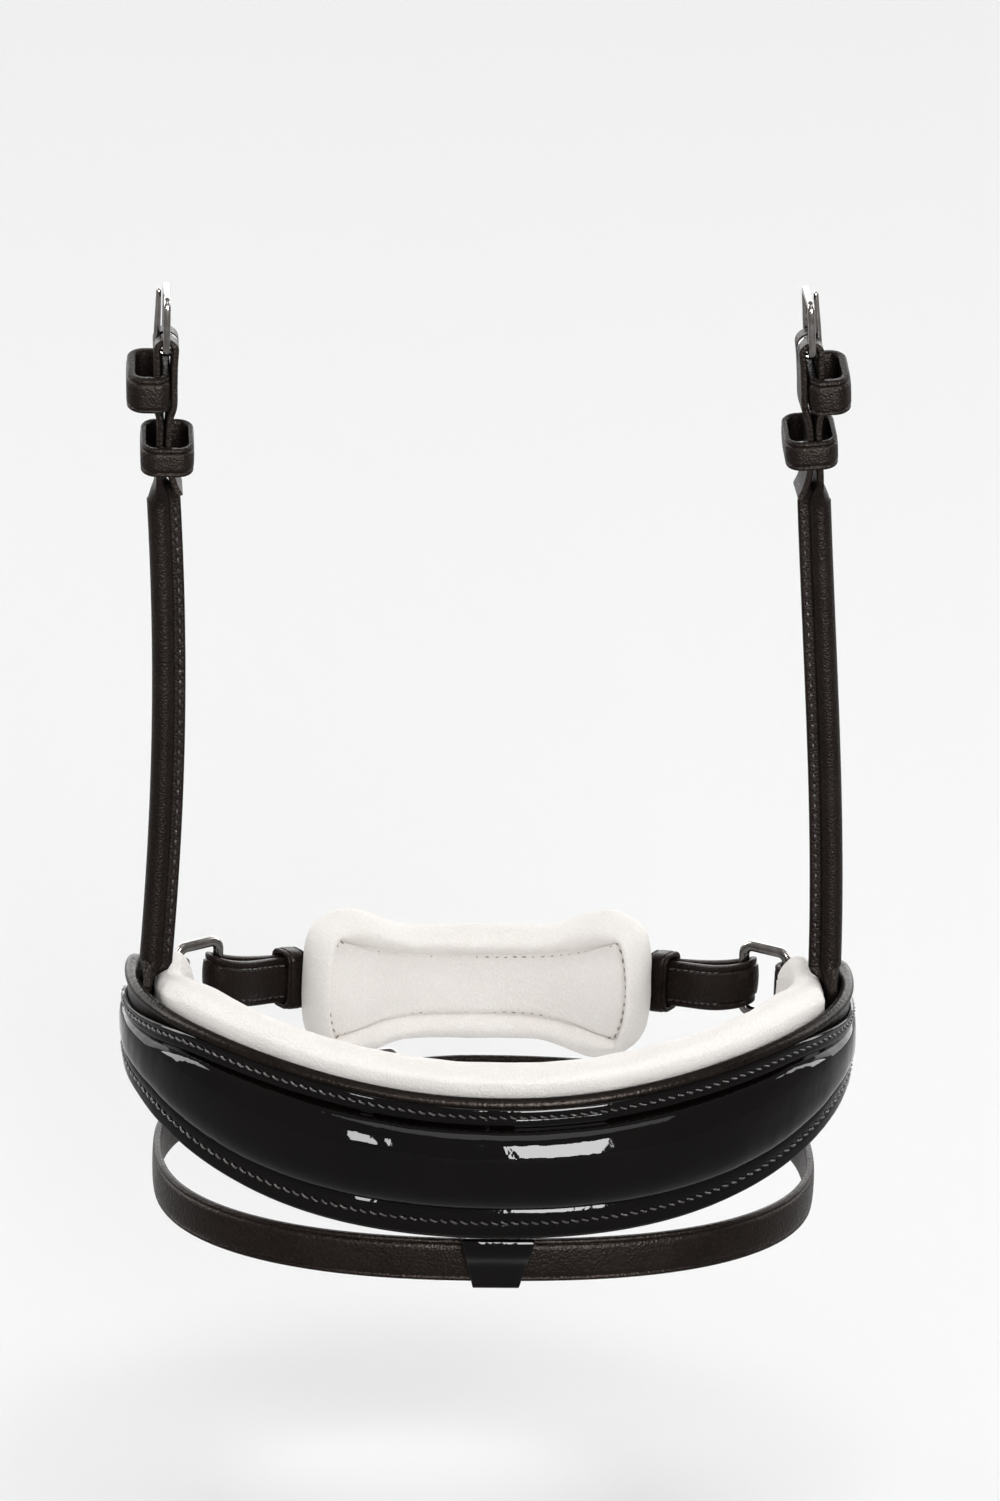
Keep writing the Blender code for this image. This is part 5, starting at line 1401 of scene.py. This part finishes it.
def tipped(section, count, steps, share):
    """One section for each point of a strap, narrowing to a rounded tip over its last steps."""
    sections = [section] * (count - steps)
    for step in range(steps):
        width = math.sqrt(1.0 - ((step + 1) / steps * math.sqrt(1.0 - share * share)) ** 2)
        sections.append([(lift, wide * width) for lift, wide in section])
    return sections


def seam_places(route, profile, lift, wide, turn=1):
    """Places of a seam along a profile, on the strap's upper face."""
    result = []
    for (s, out), along in zip(profile, headings(profile)):
        point, beyond = (route.place(s - along.y * rise, out + along.x * rise, wide)
                         for rise in (lift, lift + turn * MM))
        result.append((point, (beyond - point).normalized()))
    return result


def chin_squash(side, keeper):
    """Axis and share of the chin strap's leaves at full take-up, where the ring's rear bar has swung in."""
    front, rear = ring_bars(side)
    swung = front + Matrix.Rotation(side * RING_SWING, 3, "Z") @ (rear - front)
    shift = swung + Vector((0.0, CHIN_TAKE_UP, 0.0)) - rear
    axis = shift.normalized()
    return axis, 1.0 + shift.length / (rear - keeper).dot(axis)


def chin_inner(places, side):
    return [(s * side, chin_layer(s, CHIN_INNER, -CHIN_FOLD)) for s in places]


def chin_outer(places, side):
    return [(s * side, chin_layer(s, CHIN_OUTER, CHIN_FOLD)) for s in places]


def chin_strip(name, profile, sections, label, body="chin_piece", replaced=()):
    rings = strip_rings(CHIN, profile, sections)
    return build(f"{name}_{label}", rings, LEATHER, body, [f"{node}_{label}" for node in replaced])


def make_chin_loop(label, side):
    """The strap's loop round the ring: a fold that rides on the ring, and two leaves."""
    run = spread(CHIN_KEEPER_PLACE + GAP / 2.0, CHIN_REACH - CHIN_FOLD_LEAD, 22)
    near = spread(CHIN_REACH - CHIN_FOLD_LEAD, CHIN_REACH, 4)[:-1]
    inward = chin_inner(run, side)
    outward = chin_outer(run[::-1], side)
    bend = [(s * side, out) for s, out in arc(CHIN_REACH, 0.0, CHIN_FOLD, 180.0, 0.0, 20)]
    fold = chin_inner(near, side) + bend + chin_outer(near[::-1], side)
    raised = strap_section(CHIN_STRAP_THICKNESS, CHIN_STRAP_WIDTH, 0.95 * MM, 2.4 * MM, 0.3 * MM)
    lifted = [(lift * -side, wide) for lift, wide in raised]
    chin_strip("chin_fold", fold, lifted, label, f"ring_{label}")
    rows = [chin_strip("chin_loop", outward, lifted, label, replaced=["chin_strap"]),
            chin_strip("chin_loop_inner", inward, lifted, label)]
    seam = CHIN_STRAP_WIDTH / 2.0 - 2.4 * MM
    half = CHIN_STRAP_THICKNESS / 2.0
    for prefix, leaf in (("", outward[3:]), ("inner_", inward[:-3])):
        for name, wide in (("low", -seam), ("high", seam)):
            places = seam_places(CHIN, leaf, half * -side, wide, -side)
            rows.append(stitches(f"chin_loop_stitches_{label}_{prefix}{name}", places, THREAD, "chin_piece",
                                 pitch=3.0 * MM))
    keeper = CHIN.place(CHIN_KEEPER_PLACE * side, CHIN_OUTER)
    axis, keep = chin_squash(side, keeper)
    for piece in rows:
        tuple(axis)
        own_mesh(piece)


def make_chin_strap(label, side):
    heel = CHIN_BUCKLE_PLACE
    plain = strap_section(CHIN_STRAP_THICKNESS, CHIN_STRAP_WIDTH)
    base = spread(heel + PRONG_REACH + 2.0 * GAP, CHIN_KEEPER_PLACE - GAP / 2.0, 30)
    chin_strip("chin_strap_base", chin_inner(base, side), plain, label, replaced=["chin_base"])
    make_chin_loop(label, side)
    far = heel + BUCKLE_REACH
    lap = 0.7 * STRAP_EASE
    billet = chin_outer(spread(CHIN_KEEPER_PLACE - GAP / 2.0, far + lap, 14), side)
    bend = [(far + lap, CHIN_OUTER), (far - lap, CHIN_OUTER),
            (heel + 2.0 * STRAP_EASE, mix(CHIN_OUTER, CHIN_OVER, 0.80)), (heel + STRAP_EASE, CHIN_OVER),
            (heel, CHIN_OVER)]
    bend = spline(bend, 5)[1:] + [(s, CHIN_OVER) for s in spread(heel, CHIN_TAIL_END, 14)[1:]]
    billet += [(s * side, out) for s, out in bend]
    sections = tipped([(lift * side, wide) for lift, wide in plain], len(billet), 6, 0.6)
    strap = chin_strip("chin_strap_end", billet, sections, label, replaced=["chin_billet"])
    prong_hole(strap, CHIN, heel * side, side, mix(CHIN_OUTER, CHIN_OVER, 0.5))


def make_chin_buckle(label, side):
    heel = CHIN_BUCKLE_PLACE
    start = CHIN_CHAPE_START
    low = CHIN_HEEL_OUT - CHIN_CHAPE_FOLD
    high = CHIN_HEEL_OUT + CHIN_CHAPE_FOLD
    chape = [(s, low) for s in spread(start, heel, 12)[:-1]]
    chape += arc(heel, CHIN_HEEL_OUT, CHIN_CHAPE_FOLD, 180.0, 0.0, 20)
    chape += [(s, high) for s in spread(heel, mix(start, heel, 0.62), 7)[1:]]
    points = [(s * side, out) for s, out in chape]
    leaf = [(lift * -side, wide) for lift, wide in strap_section(CHAPE_THICKNESS, CHIN_STRAP_WIDTH)]
    fold_slot(chin_strip("chin_fold", points, leaf, label, replaced=["chin_chape"]), CHIN, heel * side,
              CHIN_HEEL_OUT)
    half = CHIN_STRAP_THICKNESS / 2.0
    far = CHIN_OUTER + half + RUNNING_GAP + BUCKLE_THICKNESS / 2.0
    make_buckle(f"chin_{label}", (f"chin_buckle_{label}", f"chin_prong_{label}"), ("chin_piece",) * 2,
                CHIN, heel * side, side, CHIN_HEEL_OUT, far, CHIN_STRAP_WIDTH)
    ends = [CHIN_KEEPER_PLACE + CHIN_KEEPER_WIDTH * share for share in (-0.5, 0.5)]
    low_face = min(out for _, out in chin_inner(ends, side)) - half
    high_face = max(out for _, out in chin_outer(ends, side)) + half
    under = low + CHAPE_THICKNESS / 2.0 + GAP + KEEPER_THICKNESS + RUNNING_GAP
    for name, place, width, bottom, top in (
            ("", CHIN_KEEPER_PLACE, CHIN_KEEPER_WIDTH, low_face, high_face),
            ("tail_", CHIN_TAIL_KEEPER_PLACE, CHIN_TAIL_KEEPER_WIDTH, under, CHIN_OVER + half)):
        make_keeper(f"chin_{name}hoop_{label}", f"chin_{name}keeper_{label}", "chin_piece", CHIN,
                    place * side, width, bottom, top, CHIN_STRAP_WIDTH)


# Flash strap
FLASH_FOLD = BUCKLE_THICKNESS / 2.0 + RUNNING_GAP + FLASH_THICKNESS / 2.0
FLASH_FAR_OUT = -FLASH_FOLD + FLASH_FAR_RISE
FLASH_UNDER = FLASH_FAR_OUT - BUCKLE_THICKNESS / 2.0 - GAP - FLASH_THICKNESS / 2.0
FLASH_OVER = FLASH_THICKNESS + GAP


def make_flash():
    section = strap_section(FLASH_THICKNESS, FLASH_WIDTH, crown=0.35 * MM, crease=1.6 * MM, depth=0.3 * MM)
    back = FLASH_BACK_LEAF
    turn = FLASH_TURN
    profile = [(s, -2.0 * FLASH_FOLD) for s in spread(back, 0.0, 14)[:-1]]
    profile += arc(0.0, -FLASH_FOLD, FLASH_FOLD, 180.0, 360.0, 20)
    lap = turn - FLASH_LAP
    profile += [(s, 0.0) for s in spread(0.0, lap, 260)[1:]]
    far = turn - BUCKLE_REACH
    bend = [
        (lap, 0.0), (lap + FLASH_LAP_EASE, mix(0.0, FLASH_UNDER, 0.1)),
        (far - 0.9 * FLASH_LAP_EASE, mix(0.0, FLASH_UNDER, 0.6)), (far, FLASH_UNDER),
        (far + 1.3 * STRAP_EASE, mix(FLASH_UNDER, FLASH_OVER, 0.14)),
        (turn - 2.0 * STRAP_EASE, mix(FLASH_UNDER, FLASH_OVER, 0.80)), (turn - STRAP_EASE, FLASH_OVER),
        (turn, FLASH_OVER),
    ]
    profile += spline(bend, 6)[1:]
    profile += [(turn + s, FLASH_OVER) for s in spread(0.0, FLASH_TAIL, 40)[1:]]
    sections = tipped(section, len(profile), 8, 0.55)
    strap = build("flash_leather", strip_rings(FLASH, profile, sections), LEATHER, "flash", ["flash_strap"])
    prong_hole(strap, FLASH, turn, -1, mix(FLASH_UNDER, FLASH_OVER, 0.5))
    fold_slot(strap, FLASH, 0.0, -FLASH_FOLD)
    make_buckle("flash", ("flash_buckle", "flash_prong"), ("flash", "flash"), FLASH, 0.0, -1,
                -FLASH_FOLD, FLASH_FAR_OUT, FLASH_WIDTH)
    outer_face = FLASH_OVER + FLASH_THICKNESS / 2.0
    inner_face = -2.0 * FLASH_FOLD - FLASH_THICKNESS / 2.0
    strap_face = -FLASH_THICKNESS / 2.0
    for name, node, body, place, bottom in (
            ("flash_hoop", "flash_keeper", "flash", FLASH_KEEPER_PLACE, inner_face),
            ("flash_slider", "flash_runner", "flash_runner_body", FLASH_RUNNER_PLACE, strap_face)):
        make_keeper(name, node, body, FLASH, place, FLASH_KEEPER_WIDTH, bottom, outer_face, FLASH_WIDTH)


def make_flash_loop():
    half = FLASH_LOOP_THICKNESS / 2.0
    front = -FLASH_DEPTH - FLASH_THICKNESS / 2.0 - RUNNING_GAP - half
    back = -FLASH_DEPTH + FLASH_THICKNESS / 2.0 + RUNNING_GAP + half
    low = FLASH_HEIGHT - FLASH_WIDTH / 2.0 - RUNNING_GAP - half
    high = FLASH_HEIGHT + FLASH_WIDTH / 2.0 + GAP + half
    hang = BOTTOM_FRONT - GAP - half
    edge = -BAND_FRONT_DEPTH + half
    corner = FLASH_LOOP_CORNER
    inner = 0.3 * corner
    outline = [
        (edge, hang - 0.7 * corner), (edge + inner, hang - 4.0 * corner),
        (mix(edge, front, 0.6), mix(hang, low, 0.5)),
        (front, low + 1.6 * corner), (front + inner, low + inner), (front + corner, low),
        (back - corner, low), (back - inner, low + inner), (back, low + corner),
        (back, high - corner), (back - inner, high - inner), (back - corner, high),
        (edge + 2.0 * corner, high), (edge + 0.7 * corner, hang),
    ]
    outline = spline(outline[::-1], 5, closed=True)
    section = strap_section(FLASH_LOOP_THICKNESS, FLASH_LOOP_TOP_WIDTH, 0.5 * MM, 1.8 * MM, 0.25 * MM)

    def place(u, v, sideways):
        share = (v - low) / (hang - low)
        width = mix(FLASH_LOOP_BOTTOM_WIDTH, FLASH_LOOP_TOP_WIDTH, share)
        return Vector((sideways * width / FLASH_LOOP_TOP_WIDTH, u, v))

    rings = hoop_rings(outline, section, place)
    build("flash_loop_patent", rings, PATENT, "flash_hanger", ["flash_loop"], closed=True)


# Cheek straps
CHEEK_FOLD = BUCKLE_THICKNESS / 2.0 + RUNNING_GAP + CHEEK_THICKNESS / 2.0
CHEEK_APART = KEEPER_THICKNESS / 2.0 + RUNNING_GAP + CHEEK_THICKNESS / 2.0
CHEEK_TOGETHER = (CHEEK_THICKNESS + GAP) / 2.0


def cheek_section(roll, thickness):
    """Blend of a flat strap and a rolled one with a stitched flange, as (lift, wide) points."""
    half = thickness / 2.0
    wide = CHEEK_WIDTH / 2.0
    cut = CHEEK_EDGE_CUT
    flange = CHEEK_FLANGE
    flat = [
        (-half, 0.2 * wide), (-half, 0.6 * wide), (cut - half, wide), (half - cut, wide),
        (half, wide - cut), (half, 0.45 * wide), (half, 0.0), (half, -0.45 * wide),
        (half, cut - wide), (half - cut, -wide), (cut - half, -wide), (-half, -0.6 * wide),
        (-half, -0.2 * wide),
    ]
    centre = CHEEK_HALF_ROLL - CHEEK_ROLL_BACK
    body = [math.radians(40.0 + 35.0 * step) for step in range(9)]
    rolled = [(-CHEEK_HALF_ROLL, flange), (-0.4 * CHEEK_HALF_ROLL, flange)]
    rolled += [(centre - CHEEK_ROLL_BACK * math.cos(a), CHEEK_ROLL_DEPTH * math.sin(a)) for a in body]
    rolled += [(-0.4 * CHEEK_HALF_ROLL, -flange), (-CHEEK_HALF_ROLL, -flange)]
    return spline([between(a, b, roll) for a, b in zip(flat, rolled)], 5, closed=True)


def make_cheek(label):
    line = CHEEK_LINES[label]
    route, heel = cheek_route(line)
    root_inset = BACKING_THICKNESS + GAP + POCKET_SLACK + CHEEK_ROOT_THICKNESS / 2.0
    rolled_from = CHEEK_ROLL_START
    rolled_to = heel - CHEEK_ROLL_END
    keys = []
    for share, held, roll in ((0.0, 1.0, 0.0), (0.55, 1.0, 0.0), (0.8, 0.6, 0.5), (1.0, 0.0, 1.0)):
        inset = BAND_HALF_WIDTH - abs(route.place(share * rolled_from).x)
        keys.append((share * rolled_from, held * (inset - root_inset), roll))
    start = spline(keys, 6)
    flat_from = rolled_to + CHEEK_ROLL_EASE
    near, far = CHEEK_LEAVES_APART
    drops = (CHEEK_LEAVES_TOGETHER, far, mix(near, far, 0.5), near)
    leaves = [CHEEK_TOGETHER, CHEEK_APART, CHEEK_APART, CHEEK_APART]
    keys = [(rolled_to, 0.0, 1.0), (mix(rolled_to, flat_from, 0.5), 0.5 * CHEEK_TOGETHER, 0.5)]
    keys += [(flat_from, CHEEK_TOGETHER, 0.0), (mix(flat_from, heel - drops[0], 0.5), CHEEK_TOGETHER, 0.0)]
    keys += [(heel - drop, leaf, 0.0) for drop, leaf in zip(drops, leaves)]
    change = spline(keys + [(heel, CHEEK_FOLD, 0.0)], 8)
    stations = start + [(s, 0.0, 1.0) for s in spread(rolled_from, rolled_to, 70)[1:-1]] + change
    stations += [(s, out, 0.0) for s, out in arc(heel, 0.0, CHEEK_FOLD, 0.0, 180.0, 24)[1:-1]]
    tail = heel - CHEEK_TAIL
    keys = [(heel, -CHEEK_FOLD, 0.0)]
    keys += [(heel - drop, -leaf, 0.0) for drop, leaf in zip(drops[::-1], leaves[::-1])]
    keys += [(tail + 0.24 * CHEEK_TAIL, -CHEEK_TOGETHER, 0.0)]
    keys += [(tail + 0.09 * CHEEK_TAIL, -CHEEK_TOGETHER - 0.45 * CHEEK_TAIL_CURL, 0.0)]
    stations += spline(keys + [(tail, -CHEEK_TOGETHER - CHEEK_TAIL_CURL, 0.0)], 6)
    sections = []
    for s, _, roll in stations:
        thinning = ease((s - rolled_from) / (rolled_to - rolled_from))
        thickness = mix(CHEEK_ROOT_THICKNESS, CHEEK_THICKNESS, thinning)
        sections.append(cheek_section(min(max(roll, 0.0), 1.0), thickness))
    profile = [(s, out) for s, out, _ in stations]
    strap = build(f"cheek_leather_{label}", strip_rings(route, profile, sections), ROLLED, "noseband",
                  [f"cheek_strap_{label}"])
    fold_slot(strap, route, heel, 0.0)
    lift = -0.72 * CHEEK_HALF_ROLL
    run = spread(rolled_from + 2.0 * MM, rolled_to - 2.0 * MM, 120)
    for name, sign in (("front", -1), ("rear", 1)):
        places = [(route.place(s, lift, sign * CHEEK_FLANGE), route.across * sign) for s in run]
        stitches(f"cheek_stitches_{label}_{name}", places, THREAD, "noseband", pitch=3.3 * MM)
    bodies = (f"cheek_frame_{label}", f"cheek_tongue_{label}")
    make_buckle(f"cheek_{label}", (f"cheek_buckle_{label}", f"cheek_prong_{label}"), bodies, route, heel, 1,
                0.0, 0.0, CHEEK_WIDTH)
    wall = KEEPER_THICKNESS + RUNNING_GAP
    make_keeper(f"cheek_hoop_{label}", f"cheek_keeper_{label}", "noseband", route, heel - CHEEK_KEEPER_DROP,
                CHEEK_KEEPER_WIDTH, RUNNING_GAP + KEEPER_THICKNESS / 2.0, CHEEK_KEEPER_BULGE - wall,
                CHEEK_WIDTH, ROLLED, (KEEPER_CORNER, CHEEK_KEEPER_CORNER), CHEEK_KEEPER_TILT, 1.5)
    make_keeper(f"cheek_slide_hoop_{label}", f"cheek_runner_{label}", f"cheek_slider_{label}", route,
                heel - line["runner_drop"], KEEPER_WIDTH, wall - CHEEK_RUNNER_REACH_IN,
                CHEEK_RUNNER_REACH_OUT - wall, CHEEK_WIDTH, ROLLED,
                (CHEEK_KEEPER_CORNER, CHEEK_KEEPER_CORNER), CHEEK_KEEPER_TILT)


add_camera()
add_surroundings()
make_backing()
make_patent()
make_nose_pad()
make_chin_pad()
make_chin_backing()
for side_name, side_sign in SIDES.items():
    make_tab(side_name, side_sign)
    make_ring(side_name, side_sign)
    make_chin_strap(side_name, side_sign)
    make_chin_buckle(side_name, side_sign)
    make_cheek(side_name)
make_flash()
make_flash_loop()
